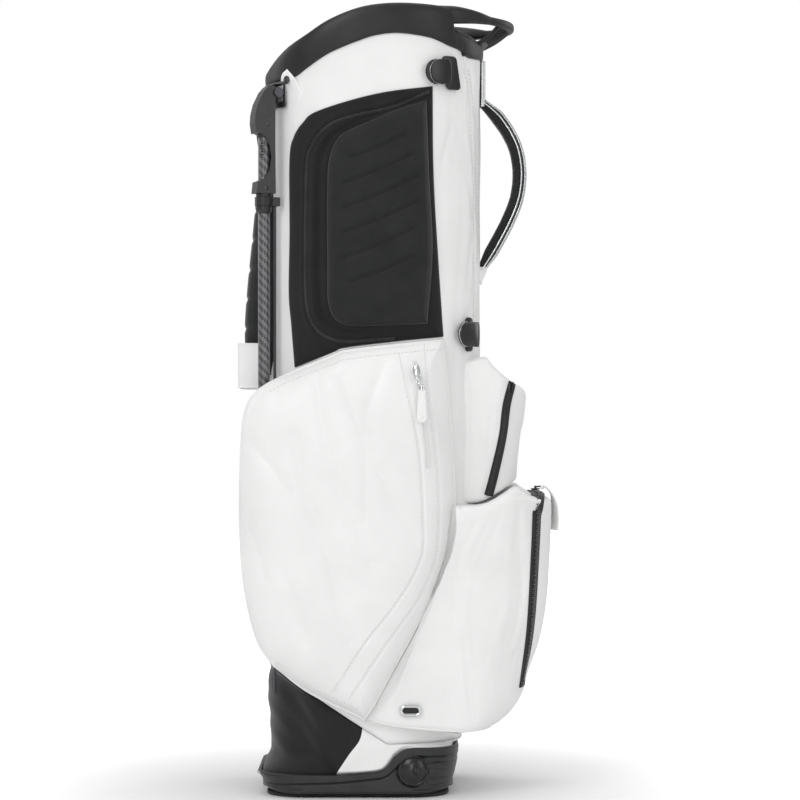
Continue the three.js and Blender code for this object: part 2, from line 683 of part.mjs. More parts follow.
/** Plan view of the base with all four corners rounded, drawn in by an inset. */
function basePlan(inset) {
  const left = BASE_FRONT_X + inset;
  const right = BASE_BACK_X - inset;
  const half = BASE_HALF_WIDTH - inset;
  const corner = BASE_CORNER - inset;
  const shape = new THREE.Shape();
  shape.absarc(right - corner, half - corner, corner, 0, Math.PI / 2);
  shape.absarc(left + corner, half - corner, corner, Math.PI / 2, Math.PI);
  shape.absarc(left + corner, corner - half, corner, Math.PI, (3 * Math.PI) / 2);
  shape.absarc(right - corner, corner - half, corner, (3 * Math.PI) / 2, 2 * Math.PI);
  return shape;
}

const BOOT_TOP_EDGE = [[-26, 27.5], [30, 33], [34, 39], [40, 47], [52, 56], [68, 57.6]];

function addBase() {
  const bootOutline = outline(
    [[BASE_FRONT_X, 28], [-26, 27.5]],
    BOOT_TOP_EDGE,
    [[BASE_BACK_X, 57]],
    [[BASE_BACK_X, 40], [110, 26], [105, 10], [99, SOLE_THICKNESS + GAP]],
    [[-103, SOLE_THICKNESS + GAP], [-107, 13]],
  );
  let boot = planPrism(basePlan(0), 0, 60)
    .intersect(crossPrism(bootOutline, 150))
    .subtract(planPrism(basePlan(BASE_WALL), FLOOR_Z, 70));
  for (const [name, side] of Object.entries(SIDES)) {
    const { x, z } = BASE_PIVOT;
    boot = boot
      .add(crossBar(BOSS_RADIUS, x, z, side * (BASE_HALF_WIDTH - 2), side * (BASE_HALF_WIDTH + 3), 28))
      .subtract(crossBar(PIVOT_PIN_RADIUS + 0.3, x, z, side * 85, side * 105));
    const cap = crossBar(12, x, z, side * (BASE_HALF_WIDTH + 3.4), side * (BASE_HALF_WIDTH + 5.5), 24)
      .add(crossBar(PIVOT_PIN_RADIUS, x, z, side * 77, side * (BASE_HALF_WIDTH + 4)));
    addPiece(`${name}_pivot_cap`, cap, materials.blackPlastic);
  }
  addPiece('base_boot', boot, materials.darkPlastic);
  let sole = planPrism(basePlan(10), 0, SOLE_THICKNESS);
  for (const notchX of [-67, 68]) {
    sole = sole.subtract(block([notchX - 3, -120, -1], [notchX + 3, 120, 1.6]));
  }
  addPiece('sole_pad', sole, materials.blackRubber);
  const restPad = planPrism(basePlan(BASE_WALL + 1), FLOOR_Z + GAP, FLOOR_Z + 6.5);
  addPiece('club_rest_pad', restPad, materials.foam);
}

/** The soft lower wall between the slanted rim of the tube and the base; it folds as the base turns. */
function addLowerSkirt() {
  const between = outline(
    [[-150, 28 + 2 * GAP], [-26, 28 + 2 * GAP]],
    shifted(BOOT_TOP_EDGE, -0.4, 2 * GAP),
    [[150, 59], [150, RIM_LOW_Z - GAP]],
    [[RIM_KNEE_X, RIM_LOW_Z - GAP], [-150, rimZ(-150) - GAP]],
  );
  const skirt = tubeShell(15, 200, -3, 0).intersect(crossPrism(between, 200));
  addPiece('lower_skirt', skirt, materials.blackFabric);
}

addMainTube();
addCollar();
addDividers();
addSideStays();
addHipPad();
addLegHousing();
addLegs();
addUpperPanels();
addApparelPockets();
addValuablesPocket();
addBallPocket();
addEyelet();
addCarryHandle();
addStrapClips();
addBase();
addLowerSkirt();

export default bag;
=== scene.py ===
"""Looks of a golf stand bag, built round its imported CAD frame.

All shapes are worked out in millimetres in the row frame (+Z up, +X towards the spine, -Y the right
side) and turned into metres when a mesh is made.
"""

import json
import math

import bmesh
import bpy
import numpy as np
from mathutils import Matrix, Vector


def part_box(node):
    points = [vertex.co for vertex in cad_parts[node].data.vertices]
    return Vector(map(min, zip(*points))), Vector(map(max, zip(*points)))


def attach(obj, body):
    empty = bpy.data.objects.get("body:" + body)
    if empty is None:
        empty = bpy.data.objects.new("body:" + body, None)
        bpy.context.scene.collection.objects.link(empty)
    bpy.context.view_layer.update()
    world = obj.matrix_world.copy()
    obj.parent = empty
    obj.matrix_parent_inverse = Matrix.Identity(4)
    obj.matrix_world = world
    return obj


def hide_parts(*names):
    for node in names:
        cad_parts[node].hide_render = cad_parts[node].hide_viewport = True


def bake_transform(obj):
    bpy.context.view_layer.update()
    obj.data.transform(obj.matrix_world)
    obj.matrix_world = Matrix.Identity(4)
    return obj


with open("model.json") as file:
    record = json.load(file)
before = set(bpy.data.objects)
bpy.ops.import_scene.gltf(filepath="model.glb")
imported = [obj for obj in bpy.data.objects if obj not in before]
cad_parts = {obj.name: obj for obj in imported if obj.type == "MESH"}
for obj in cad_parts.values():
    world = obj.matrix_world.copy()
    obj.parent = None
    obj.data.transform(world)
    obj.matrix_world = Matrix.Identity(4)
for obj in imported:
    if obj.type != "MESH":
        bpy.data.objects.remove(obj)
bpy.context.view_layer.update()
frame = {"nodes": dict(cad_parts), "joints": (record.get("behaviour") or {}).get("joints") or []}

MM = 0.001
RIGHT = -1
LEFT = 1
SIDES = (("right", RIGHT), ("left", LEFT))
BODY = "bag_body"


# ---- Numbers and curves ----------------------------------------------------------------------


def box_mm(node):
    """Lowest and highest corner of a CAD node, in millimetres."""
    low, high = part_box(node)
    return np.array(low) / MM, np.array(high) / MM


def smoothstep(value, low, high):
    t = np.clip((np.asarray(value, float) - low) / (high - low), 0.0, 1.0)
    return t * t * (3 - 2 * t)


def lerp(a, b, t):
    return a + (b - a) * t


def spline(points, per_span=8):
    """A smooth curve through points of any dimension; two points give a straight line."""
    pts = np.asarray(points, float)
    if len(pts) < 3:
        steps = np.linspace(0, 1, per_span + 1)[:, None]
        return lerp(pts[0], pts[-1], steps)
    ends = np.vstack([2 * pts[0] - pts[1], pts, 2 * pts[-1] - pts[-2]])
    out = []
    for i in range(1, len(ends) - 2):
        a, b, c, d = ends[i - 1], ends[i], ends[i + 1], ends[i + 2]
        for t in np.linspace(0, 1, per_span, endpoint=False):
            out.append(0.5 * (2 * b + (c - a) * t + (2 * a - 5 * b + 4 * c - d) * t ** 2
                              + (3 * b - a - 3 * c + d) * t ** 3))
    out.append(pts[-1])
    return np.array(out)


def resample(points, count, closed=False):
    """Points at equal distances along a curve."""
    pts = np.asarray(points, float)
    if closed:
        pts = np.vstack([pts, pts[:1]])
    length = np.concatenate([[0], np.cumsum(np.linalg.norm(np.diff(pts, axis=0), axis=1))])
    wanted = np.linspace(0, length[-1], count + 1 if closed else count)
    if closed:
        wanted = wanted[:-1]
    return np.column_stack([np.interp(wanted, length, pts[:, k]) for k in range(pts.shape[1])])


def closed_outline(stretches, count):
    """A closed outline of smooth stretches that meet at corners."""
    return resample(np.vstack([spline(stretch) for stretch in stretches]), count, closed=True)


def line_height(points):
    """Turns a smooth line given left to right into a function of x."""
    curve = spline(points, 12)
    order = np.argsort(curve[:, 0])
    return lambda x: np.interp(x, curve[order, 0], curve[order, 1])


def distance_to_line(x, z, points):
    """Distance in the side view from each (x, z) to a smooth line."""
    curve = spline(points, 6)
    best = np.full(np.shape(x), 1e9)
    for a, b in zip(curve[:-1], curve[1:]):
        step = b - a
        t = ((x - a[0]) * step[0] + (z - a[1]) * step[1]) / max(step @ step, 1e-9)
        t = np.clip(t, 0, 1)
        best = np.minimum(best, np.hypot(x - a[0] - t * step[0], z - a[1] - t * step[1]))
    return best


def groove(distance, width, depth):
    """Depth of a sewn groove at a distance from its middle."""
    return depth * np.exp(-(distance / width) ** 2)


# ---- The tube's surface ----------------------------------------------------------------------

TUBE_LOW, TUBE_HIGH = box_mm("main_tube")
SKIRT_LOW, SKIRT_HIGH = box_mm("lower_skirt")
TUBE_FRONT_X = TUBE_LOW[0] - 0.6
SPINE_X_HIGH = TUBE_HIGH[0] + 0.6
SPINE_X_LOW = SKIRT_HIGH[0] - 1.6
HALF_LOW = SKIRT_HIGH[1] - 0.4
HALF_HIGH = TUBE_HIGH[1] + 0.9
FULL_DEPTH_Z = 330
OVAL_POWER = 2.4
PIVOT_X = 62


def tube_section(z):
    """Middle x and half sizes of the oval at a height."""
    spine = lerp(SPINE_X_LOW, SPINE_X_HIGH, smoothstep(z, 0, FULL_DEPTH_Z))
    half_y = lerp(HALF_LOW, HALF_HIGH, np.asarray(z, float) / 900)
    return (TUBE_FRONT_X + spine) / 2, (spine - TUBE_FRONT_X) / 2, half_y


def signed_power(value, power):
    return np.sign(value) * np.abs(value) ** power


def bend(value):
    return signed_power(value, 2 / OVAL_POWER)


def tube_point(angle, z, offset=0.0):
    """A point on the tube; angle 0 is the spine and pi / 2 the left side."""
    middle, half_x, half_y = tube_section(z)
    x = middle + bend(np.cos(angle)) * (half_x + offset)
    y = bend(np.sin(angle)) * (half_y + offset)
    return np.stack(np.broadcast_arrays(x, y, np.asarray(z, float)), axis=-1)


def tube_y(x, z, offset=0.0):
    """Distance of the tube's surface from the middle plane at a side-view place."""
    middle, half_x, half_y = tube_section(z)
    across = np.clip(np.abs((x - middle) / (half_x + offset)), 0, 1)
    return (half_y + offset) * (1 - across ** OVAL_POWER) ** (1 / OVAL_POWER)


def tube_angle_at_y(y, z):
    """Angle of a tube point on the spine side with the given y."""
    _, _, half_y = tube_section(z)
    return np.arcsin(signed_power(y / half_y, OVAL_POWER / 2))


def tube_angle(x, z):
    """Angle of a tube point with the given x, on the left side."""
    middle, half_x, _ = tube_section(z)
    across = np.clip((x - middle) / half_x, -1, 1)
    return np.arccos(signed_power(across, OVAL_POWER / 2))


def rim_height(x):
    """Height of the tube's slanted lower rim."""
    return np.maximum(62.0, 44 + (PIVOT_X - x) * 0.625)


# ---- Meshes ----------------------------------------------------------------------------------


def make_object(name, verts, faces, materials, slots=None, flat_angle=None):
    """A mesh object from millimetre points, with its normals facing out."""
    mesh = bpy.data.meshes.new(name)
    mesh.from_pydata((np.asarray(verts, float) * MM).tolist(), [], [tuple(f) for f in faces])
    for material in materials if isinstance(materials, (list, tuple)) else [materials]:
        mesh.materials.append(material)
    if slots is not None:
        mesh.polygons.foreach_set("material_index", np.asarray(slots, np.int32))
    work = bmesh.new()
    work.from_mesh(mesh)
    bmesh.ops.remove_doubles(work, verts=work.verts, dist=2e-6)
    bmesh.ops.recalc_face_normals(work, faces=work.faces)
    work.to_mesh(mesh)
    work.free()
    mesh.polygons.foreach_set("use_smooth", [True] * len(mesh.polygons))
    if flat_angle is not None:
        mesh.set_sharp_from_angle(angle=math.radians(flat_angle))
    obj = bpy.data.objects.new(name, mesh)
    bpy.context.scene.collection.objects.link(obj)
    return obj


def stand_in(piece, node, body):
    """Makes a piece stand for a CAD node and move with a body."""
    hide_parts(node)
    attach(piece, body)


def grid_faces(rows, cols, wrap_rows=False, wrap_cols=False):
    """Quads of a grid of points stored row by row."""
    i = np.arange(rows if wrap_rows else rows - 1)[:, None]
    j = np.arange(cols if wrap_cols else cols - 1)[None, :]
    i2 = (i + 1) % rows
    j2 = (j + 1) % cols
    quads = np.stack(np.broadcast_arrays(i * cols + j, i * cols + j2, i2 * cols + j2, i2 * cols + j), -1)
    return quads.reshape(-1, 4).tolist()


def capped_faces(rows, cols):
    """Quads between closed rings of points, with a flat cap on the first and the last ring."""
    last = (rows - 1) * cols
    caps = [list(range(cols))[::-1], list(range(last, last + cols))]
    return grid_faces(rows, cols, False, True) + caps


def sheet_faces(rows, cols):
    """Faces of a thin closed sheet: the rows of its front, then those of its back in reverse."""
    faces = grid_faces(2 * rows, cols, True, False)
    for j in (0, cols - 1):
        for i in range(rows - 1):
            back = 2 * rows - 2 - i
            faces.append([i * cols + j, (i + 1) * cols + j, back * cols + j, (back + 1) * cols + j])
    return faces


class Parts:
    """Collects closed bodies that become one mesh object."""

    def __init__(self):
        self.verts = []
        self.faces = []
        self.slots = []
        self.total = 0

    def add(self, verts, faces, slot=0):
        self.verts.append(np.asarray(verts, float).reshape(-1, 3))
        self.faces += [[v + self.total for v in face] for face in faces]
        self.slots += [slot] * len(faces)
        self.total += len(self.verts[-1])
        return self

    def build(self, name, materials, flat_angle=None):
        return make_object(name, np.vstack(self.verts), self.faces, materials, self.slots, flat_angle)


def tangents(path, closed=False):
    if closed:
        step = np.roll(path, -1, axis=0) - np.roll(path, 1, axis=0)
    else:
        step = np.gradient(path, axis=0)
    return step / np.maximum(np.linalg.norm(step, axis=1, keepdims=True), 1e-9)


def sweep(path, section, up=(0, 0, 1), closed=False, scale=None):
    """Sweeps a closed section along a path; the section's second axis follows up."""
    path = np.asarray(path, float)
    section = np.asarray(section, float)
    along = tangents(path, closed)
    up = np.broadcast_to(np.asarray(up, float), path.shape)
    normal = up - (up * along).sum(1, keepdims=True) * along
    normal /= np.maximum(np.linalg.norm(normal, axis=1, keepdims=True), 1e-9)
    across = np.cross(along, normal)
    size = np.ones(len(path)) if scale is None else np.asarray(scale, float)
    rings = (path[:, None] + size[:, None, None] * (across[:, None] * section[None, :, :1]
                                                    + normal[:, None] * section[None, :, 1:]))
    if closed:
        return rings.reshape(-1, 3), grid_faces(len(path), len(section), True, True)
    return rings.reshape(-1, 3), capped_faces(len(path), len(section))


def round_section(radius_x, radius_y=None, sides=12):
    angle = np.arange(sides) / sides * 2 * np.pi
    radius_y = radius_x if radius_y is None else radius_y
    return np.column_stack([radius_x * np.cos(angle), radius_y * np.sin(angle)])


def slab_section(width, thickness, corner=None, steps=3):
    """A rounded rectangle; its lower side lies at zero."""
    corner = min(width, thickness) * 0.45 if corner is None else corner
    points = []
    for cx, cy, start in ((1, 1, 0), (-1, 1, 90), (-1, -1, 180), (1, -1, 270)):
        for angle in np.radians(np.linspace(start, start + 90, steps)):
            points.append([cx * (width / 2 - corner) + corner * math.cos(angle),
                           thickness / 2 + cy * (thickness / 2 - corner) + corner * math.sin(angle)])
    return np.array(points)


def revolve(profile, segments=32):
    """Turns (radius, height) points that start and end on the axis into a closed body along Z."""
    angle = np.arange(segments) / segments * 2 * np.pi
    profile = np.asarray(profile, float)
    x = profile[:, None, 0] * np.cos(angle)
    y = profile[:, None, 0] * np.sin(angle)
    z = np.broadcast_to(profile[:, None, 1], x.shape)
    return np.stack([x, y, z], -1).reshape(-1, 3), grid_faces(len(profile), segments, False, True)


def revolved_ring(profile, segments):
    """Turns a closed (radius, height) outline that stays off the axis into a ring along Z."""
    verts, _ = revolve(profile, segments)
    return verts, grid_faces(len(profile), segments, True, True)


def placed(verts, origin, z_axis, x_axis=(0, 0, 1)):
    """Moves points to a frame whose z axis points along z_axis."""
    z_axis = np.asarray(z_axis, float) / np.linalg.norm(z_axis)
    x_axis = np.asarray(x_axis, float) - np.dot(x_axis, z_axis) * z_axis
    x_axis /= np.linalg.norm(x_axis)
    y_axis = np.cross(z_axis, x_axis)
    verts = np.asarray(verts, float)
    return np.asarray(origin) + verts[:, :1] * x_axis + verts[:, 1:2] * y_axis + verts[:, 2:] * z_axis


def pad_grid(outline, centre, rings, front, back, power):
    """A closed pad: front and back surfaces over a side-view outline, joined at its edge.

    front and back take x, z and the fraction of the way to the edge, and give y.
    """
    share = (np.arange(1, rings + 1) / rings) ** power
    x = centre[0] + (outline[None, :, 0] - centre[0]) * share[:, None]
    z = centre[1] + (outline[None, :, 1] - centre[1]) * share[:, None]
    rho = np.broadcast_to(share[:, None], x.shape)
    front_grid = np.stack([x, front(x, z, rho), z], -1)
    back_grid = np.stack([x, back(x, z, rho), z], -1)[::-1][1:]
    grid = np.concatenate([front_grid, back_grid])
    count = len(outline)
    rows = grid.shape[0]
    verts = grid.reshape(-1, 3)
    cx, cz, zero = np.array([centre[0]]), np.array([centre[1]]), np.zeros(1)
    tips = np.array([[centre[0], front(cx, cz, zero)[0], centre[1]],
                     [centre[0], back(cx, cz, zero)[0], centre[1]]])
    faces = grid_faces(rows, count, False, True)
    first, second = rows * count, rows * count + 1
    last = (rows - 1) * count
    for j in range(count):
        k = (j + 1) % count
        faces.append([first, k, j])
        faces.append([second, last + j, last + k])
    return np.vstack([verts, tips]), faces


def spaced(path, up, pitch):
    """Equally spaced places on a path, with the direction along it and up at each."""
    path = np.asarray(path, float)
    total = np.linalg.norm(np.diff(path, axis=0), axis=1).sum()
    count = max(int(total / pitch), 2)
    places = resample(path, count)
    up = np.broadcast_to(np.asarray(up, float), path.shape)
    share = np.linspace(0, 1, len(path))
    ups = np.column_stack([np.interp(np.linspace(0, 1, count), share, up[:, k]) for k in range(3)])
    return zip(places, tangents(places), ups)


def stitches(path, up, length=2.6, gap=1.3, radius=0.42, lift=0.25):
    """A row of small thread stitches that lie along a path."""
    section = round_section(1.0, 1.0, 6)
    body = Parts()
    for place, way, normal in spaced(path, up, length + gap):
        normal = normal / np.linalg.norm(normal)
        stops = np.array([-0.5, -0.38, 0.0, 0.38, 0.5])
        line = place + way * stops[:, None] * length
        line = line + normal * (lift + radius * 0.5 * np.array([-1.2, 0, 0.4, 0, -1.2]))[:, None]
        verts, faces = sweep(line, section, normal, scale=radius * np.array([0.4, 0.9, 1, 0.9, 0.4]))
        body.add(verts, faces)
    return np.vstack(body.verts), body.faces


def leg_frame(side):
    """Origin and axes of a leg's own frame: x into the bag, y along the hinge, z up."""
    name = ("right" if side == RIGHT else "left") + "_leg_swing"
    joint = next(joint for joint in frame["joints"] if joint["name"] == name)
    origin = np.array(joint["pos_m"]) / MM
    y_axis = np.array(joint["axis"], float)
    x_axis = np.cross(y_axis, [0, 0, 1])
    return origin, x_axis, y_axis


def from_leg(verts, side):
    origin, x_axis, y_axis = leg_frame(side)
    verts = np.asarray(verts, float)
    return origin + verts[:, :1] * x_axis + verts[:, 1:2] * y_axis + verts[:, 2:] * np.array([0, 0, 1])


# ---- Materials -------------------------------------------------------------------------------


class Shader:
    """Builds the nodes of one material; coordinates are in millimetres."""

    def __init__(self, name, color, roughness, **inputs):
        self.material = bpy.data.materials.new(name)
        self.material.use_nodes = True
        self.tree = self.material.node_tree
        self.principled = self.tree.nodes["Principled BSDF"]
        self.put("Base Color", (*color, 1.0))
        self.put("Roughness", roughness)
        for key, value in inputs.items():
            self.put(key.replace("_", " "), value)
        coords = self.tree.nodes.new("ShaderNodeTexCoord")
        to_mm = self.tree.nodes.new("ShaderNodeVectorMath")
        to_mm.operation = "SCALE"
        to_mm.inputs["Scale"].default_value = 1 / MM
        self.tree.links.new(coords.outputs["Object"], to_mm.inputs[0])
        self.place = to_mm.outputs[0]
        self.height = None

    def put(self, key, value):
        self.principled.inputs[key].default_value = value

    def link(self, output, socket):
        self.tree.links.new(output, socket)
        return output

    def node(self, kind, **settings):
        made = self.tree.nodes.new("ShaderNode" + kind)
        for key, value in settings.items():
            setattr(made, key, value)
        return made

    def math(self, operation, a, b=None):
        made = self.node("Math", operation=operation)
        for socket, value in zip(made.inputs, (a, b)):
            if value is None:
                continue
            if isinstance(value, (int, float)):
                socket.default_value = value
            else:
                self.link(value, socket)
        return made.outputs[0]

    def noise(self, size, detail=3.0, stretch=(1, 1, 1)):
        """Noise whose blotches are about size millimetres across."""
        mapping = self.node("Mapping")
        mapping.inputs["Scale"].default_value = stretch
        self.link(self.place, mapping.inputs["Vector"])
        made = self.node("TexNoise")
        made.inputs["Scale"].default_value = 1 / size
        made.inputs["Detail"].default_value = detail
        self.link(mapping.outputs[0], made.inputs["Vector"])
        return made.outputs["Fac"]

    def cells(self, size, feature="F1"):
        made = self.node("TexVoronoi", feature=feature)
        made.inputs["Scale"].default_value = 1 / size
        self.link(self.place, made.inputs["Vector"])
        return made.outputs["Distance"]

    def axis(self, index):
        made = self.node("SeparateXYZ")
        self.link(self.place, made.inputs[0])
        return made.outputs[index]

    def uv_axis(self, index):
        coords = self.node("TexCoord")
        made = self.node("SeparateXYZ")
        self.link(coords.outputs["UV"], made.inputs[0])
        return made.outputs[index]

    def weave(self, pitch, u=None, v=None):
        """Over-and-under threads of a plain weave."""
        u = self.axis(0) if u is None else u
        v = self.axis(2) if v is None else v
        wave_u = self.math("SINE", self.math("MULTIPLY", u, 2 * math.pi / pitch))
        wave_v = self.math("SINE", self.math("MULTIPLY", v, 2 * math.pi / pitch))
        return self.math("MULTIPLY", wave_u, wave_v)

    def vary_color(self, factor, dark, light, low=0.35, high=0.65):
        ramp = self.node("ValToRGB")
        ramp.color_ramp.elements[0].position = low
        ramp.color_ramp.elements[0].color = (*dark, 1)
        ramp.color_ramp.elements[1].position = high
        ramp.color_ramp.elements[1].color = (*light, 1)
        self.link(factor, ramp.inputs[0])
        self.link(ramp.outputs[0], self.principled.inputs["Base Color"])

    def vary_roughness(self, factor, low, high):
        span = self.node("MapRange")
        span.inputs["To Min"].default_value = low
        span.inputs["To Max"].default_value = high
        self.link(factor, span.inputs["Value"])
        self.link(span.outputs[0], self.principled.inputs["Roughness"])

    def bump(self, factor, depth, strength=1.0):
        """Adds relief of the given depth in millimetres."""
        made = self.node("Bump")
        made.inputs["Distance"].default_value = depth * MM
        made.inputs["Strength"].default_value = strength
        self.link(factor, made.inputs["Height"])
        if self.height is not None:
            self.link(self.height, made.inputs["Normal"])
        self.height = made.outputs[0]
        self.link(self.height, self.principled.inputs["Normal"])


def leather_material(name, dark, light, roughness=0.42):
    """Smooth coated leather: soft blotches, fine pebble grain and creases."""
    shader = Shader(name, light, roughness, Coat_Weight=0.12, Coat_Roughness=0.35)
    shader.vary_color(shader.noise(70, 4), dark, light, 0.3, 0.6)
    shader.vary_roughness(shader.noise(9, 4), roughness - 0.08, roughness + 0.12)
    shader.bump(shader.noise(38, 3), 0.9, 0.35)
    shader.bump(shader.cells(1.5, "SMOOTH_F1"), 0.16, 0.5)
    shader.bump(shader.noise(0.5, 2), 0.05, 0.4)
    return shader.material


def knit_material(name, dark, light, pitch, depth, roughness=0.82, sheen=0.25):
    """Black knitted or woven cloth with a soft sheen."""
    shader = Shader(name, light, roughness, Sheen_Weight=sheen, Sheen_Roughness=0.45)
    shader.put("Specular IOR Level", 0.35)
    shader.vary_color(shader.noise(26, 4), dark, light)
    shader.bump(shader.noise(22, 3), 0.8, 0.3)
    shader.bump(shader.weave(pitch), depth, 0.7)
    return shader.material


def moulded_material(name, dark, light, roughness, grain, depth, coat=0.0):
    """Moulded plastic or rubber: fine spark-eroded grain and faint handling marks."""
    shader = Shader(name, light, roughness, Coat_Weight=coat, Coat_Roughness=0.15)
    shader.vary_color(shader.noise(18, 5), dark, light)
    shader.vary_roughness(shader.noise(14, 5), roughness - 0.07, roughness + 0.1)
    shader.bump(shader.noise(grain, 3), depth, 0.6)
    return shader.material


def metal_material(name, color, roughness, brushed):
    shader = Shader(name, color, roughness, Metallic=1.0)
    shader.vary_roughness(shader.noise(4, 4, (1, 1, 0.1) if brushed else (1, 1, 1)),
                          roughness * 0.7, roughness * 1.6)
    shader.bump(shader.noise(0.35, 2, (1, 1, 0.04) if brushed else (1, 1, 1)), 0.02, 0.4)
    return shader.material


def carbon_material():
    """Clear-coated two-by-two twill; UVs run round and along the tube in millimetres. The weave layout is
    the tube's own, but the lighter over-tows and the brighter middle of each tow are painted sheen.
    """
    shader = Shader("carbon_twill", (0.03, 0.03, 0.034), 0.34, Coat_Weight=0.9, Coat_Roughness=0.05)
    tow = 2.4
    u = shader.math("DIVIDE", shader.uv_axis(0), tow)
    v = shader.math("DIVIDE", shader.uv_axis(1), tow)
    step = shader.math("ADD", shader.math("FLOOR", u), shader.math("FLOOR", v))
    over = shader.math("LESS_THAN", shader.math("FLOORED_MODULO", step, 4.0), 2.0)
    grain_u = shader.math("ABSOLUTE", shader.math("SINE", shader.math("MULTIPLY", u, math.pi)))
    grain_v = shader.math("ABSOLUTE", shader.math("SINE", shader.math("MULTIPLY", v, math.pi)))
    thread = shader.math("ADD", shader.math("MULTIPLY", over, grain_u),
                         shader.math("MULTIPLY", shader.math("SUBTRACT", 1.0, over), grain_v))
    # painted sheen: tows that lie over are lighter, and each tow is brightest along its middle
    painted_tow_sheen = shader.math("ADD", shader.math("MULTIPLY", over, 0.55), shader.math("MULTIPLY", thread, 0.4))
    shader.vary_color(painted_tow_sheen, (0.006, 0.006, 0.007), (0.16, 0.16, 0.17), 0.05, 0.95)
    shader.bump(thread, 0.08, 0.5)
    return shader.material


def zip_tape_material(name, dark, light):
    """Plain-woven zip tape."""
    shader = Shader(name, light, 0.8, Sheen_Weight=0.2)
    shader.vary_color(shader.weave(1.1), dark, light, 0.2, 0.8)
    shader.bump(shader.weave(1.1), 0.15, 0.6)
    return shader.material


def clear_material():
    """Clear soft plastic piping."""
    shader = Shader("clear_piping", (0.72, 0.74, 0.76), 0.12, Transmission_Weight=0.35, IOR=1.45,
                    Coat_Weight=0.5)
    shader.vary_roughness(shader.noise(5, 3), 0.08, 0.2)
    shader.bump(shader.noise(3, 2), 0.1, 0.3)
    return shader.material


WHITE = leather_material("white_leather", (0.83, 0.83, 0.825), (0.875, 0.875, 0.87))
WHITE_TRIM = leather_material("white_trim", (0.78, 0.78, 0.775), (0.84, 0.84, 0.835), 0.5)
WHITE_THREAD = knit_material("white_thread", (0.72, 0.72, 0.72), (0.8, 0.8, 0.8), 0.5, 0.1, 0.7, 0.1)
NEOPRENE = knit_material("black_neoprene", (0.0055, 0.005, 0.006), (0.009, 0.0085, 0.0095), 0.9, 0.12)
PAD_CLOTH = knit_material("moulded_pad_cloth", (0.008, 0.0085, 0.009), (0.0125, 0.013, 0.0135), 1.3, 0.18,
                          0.75)
GUSSET = knit_material("gusset_cloth", (0.0022, 0.0022, 0.0025), (0.004, 0.004, 0.0045), 0.8, 0.1, 0.55)
BLACK_THREAD = knit_material("black_thread", (0.015, 0.015, 0.016), (0.03, 0.03, 0.031), 0.5, 0.1, 0.6)
RUBBER = moulded_material("collar_rubber", (0.006, 0.006, 0.0065), (0.0095, 0.0095, 0.01), 0.42, 0.7, 0.05)
SOLE_RUBBER = moulded_material("sole_rubber", (0.012, 0.012, 0.013), (0.022, 0.022, 0.023), 0.72, 0.9, 0.15)
SHELL = moulded_material("dark_plastic", (0.009, 0.009, 0.01), (0.016, 0.016, 0.018), 0.36, 0.5, 0.05, 0.1)
BOOT = moulded_material("boot_plastic", (0.007, 0.0075, 0.008), (0.013, 0.0135, 0.0145), 0.38, 0.8, 0.07,
                        0.15)
GLOSS = moulded_material("gloss_plastic", (0.004, 0.004, 0.0045), (0.008, 0.008, 0.009), 0.27, 0.6, 0.03,
                         0.1)
FOAM = knit_material("divider_fleece", (0.02, 0.02, 0.021), (0.035, 0.035, 0.036), 2.2, 0.3, 0.95, 0.5)
LINING = knit_material("dark_lining", (0.02, 0.02, 0.022), (0.03, 0.03, 0.032), 1.2, 0.1, 0.85, 0.2)
CHROME = metal_material("chrome", (0.72, 0.73, 0.74), 0.1, False)
STEEL = metal_material("dark_spring_steel", (0.09, 0.09, 0.1), 0.32, True)
CARBON = carbon_material()
ZIP_TAPE = zip_tape_material("zip_tape", (0.008, 0.008, 0.009), (0.02, 0.02, 0.021))
TEETH = moulded_material("zip_teeth", (0.035, 0.035, 0.037), (0.06, 0.06, 0.063), 0.22, 0.4, 0.02, 0.4)
WHITE_TAPE = zip_tape_material("white_zip_tape", (0.78, 0.78, 0.775), (0.86, 0.86, 0.855))
CLEAR = clear_material()
CHROME_PIPING = metal_material("silver_piping", (0.78, 0.79, 0.8), 0.18, False)


# ---- Tube, collar and dividers ---------------------------------------------------------------

COLLAR_LOW = line_height([
    (-112, 815), (-84, 816), (-72, 820), (-59, 829), (-34, 843), (2, 857), (23, 863), (47, 865),
    (82, 861), (105, 853), (119.5, 848.4), (122, 844.7), (132, 842.6), (142, 844.5), (148, 845)])
COLLAR_TOP = line_height([
    (-112, 828), (-103, 836), (-92, 846), (-80, 855), (-59, 867), (-37, 880), (-10, 891), (15, 897),
    (47, 899.5), (88, 898.5), (106, 896)])
COLLAR_STEP = line_height([(106, 896), (110, 876), (121, 870), (128, 869), (137, 865.5), (148, 865.5)])


def collar_top(x):
    return np.where(x < 106, COLLAR_TOP(x), COLLAR_STEP(x))


SPINE_SEAM = [(133, 480), (133.5, 600), (133, 674), (130.5, 760), (127, 805), (119, 846)]
SPINE_FOLDS = [
    ([(108, 768), (101, 745), (95, 718)], 3.2, 1.1),
    ([(112, 766), (119, 735), (126, 700), (132, 660)], 3.0, 1.4),
    ([(123, 802), (128, 765), (133, 720), (136, 668)], 2.2, 1.3),
    ([(131, 640), (127, 605), (122, 570)], 3.0, 1.2),
    ([(134, 615), (131, 575), (127, 550)], 2.4, 0.9),
    ([(92, 690), (94, 640), (98, 585)], 6.0, 1.0),
    ([(104, 812), (106, 770), (104, 730)], 5.0, 0.9),
]


def spine_seam_angle(z):
    """Angle of the curved seam between the side and the spine panel."""
    line = spline(SPINE_SEAM, 8)
    return tube_angle(np.interp(z, line[:, 1], line[:, 0]), z)


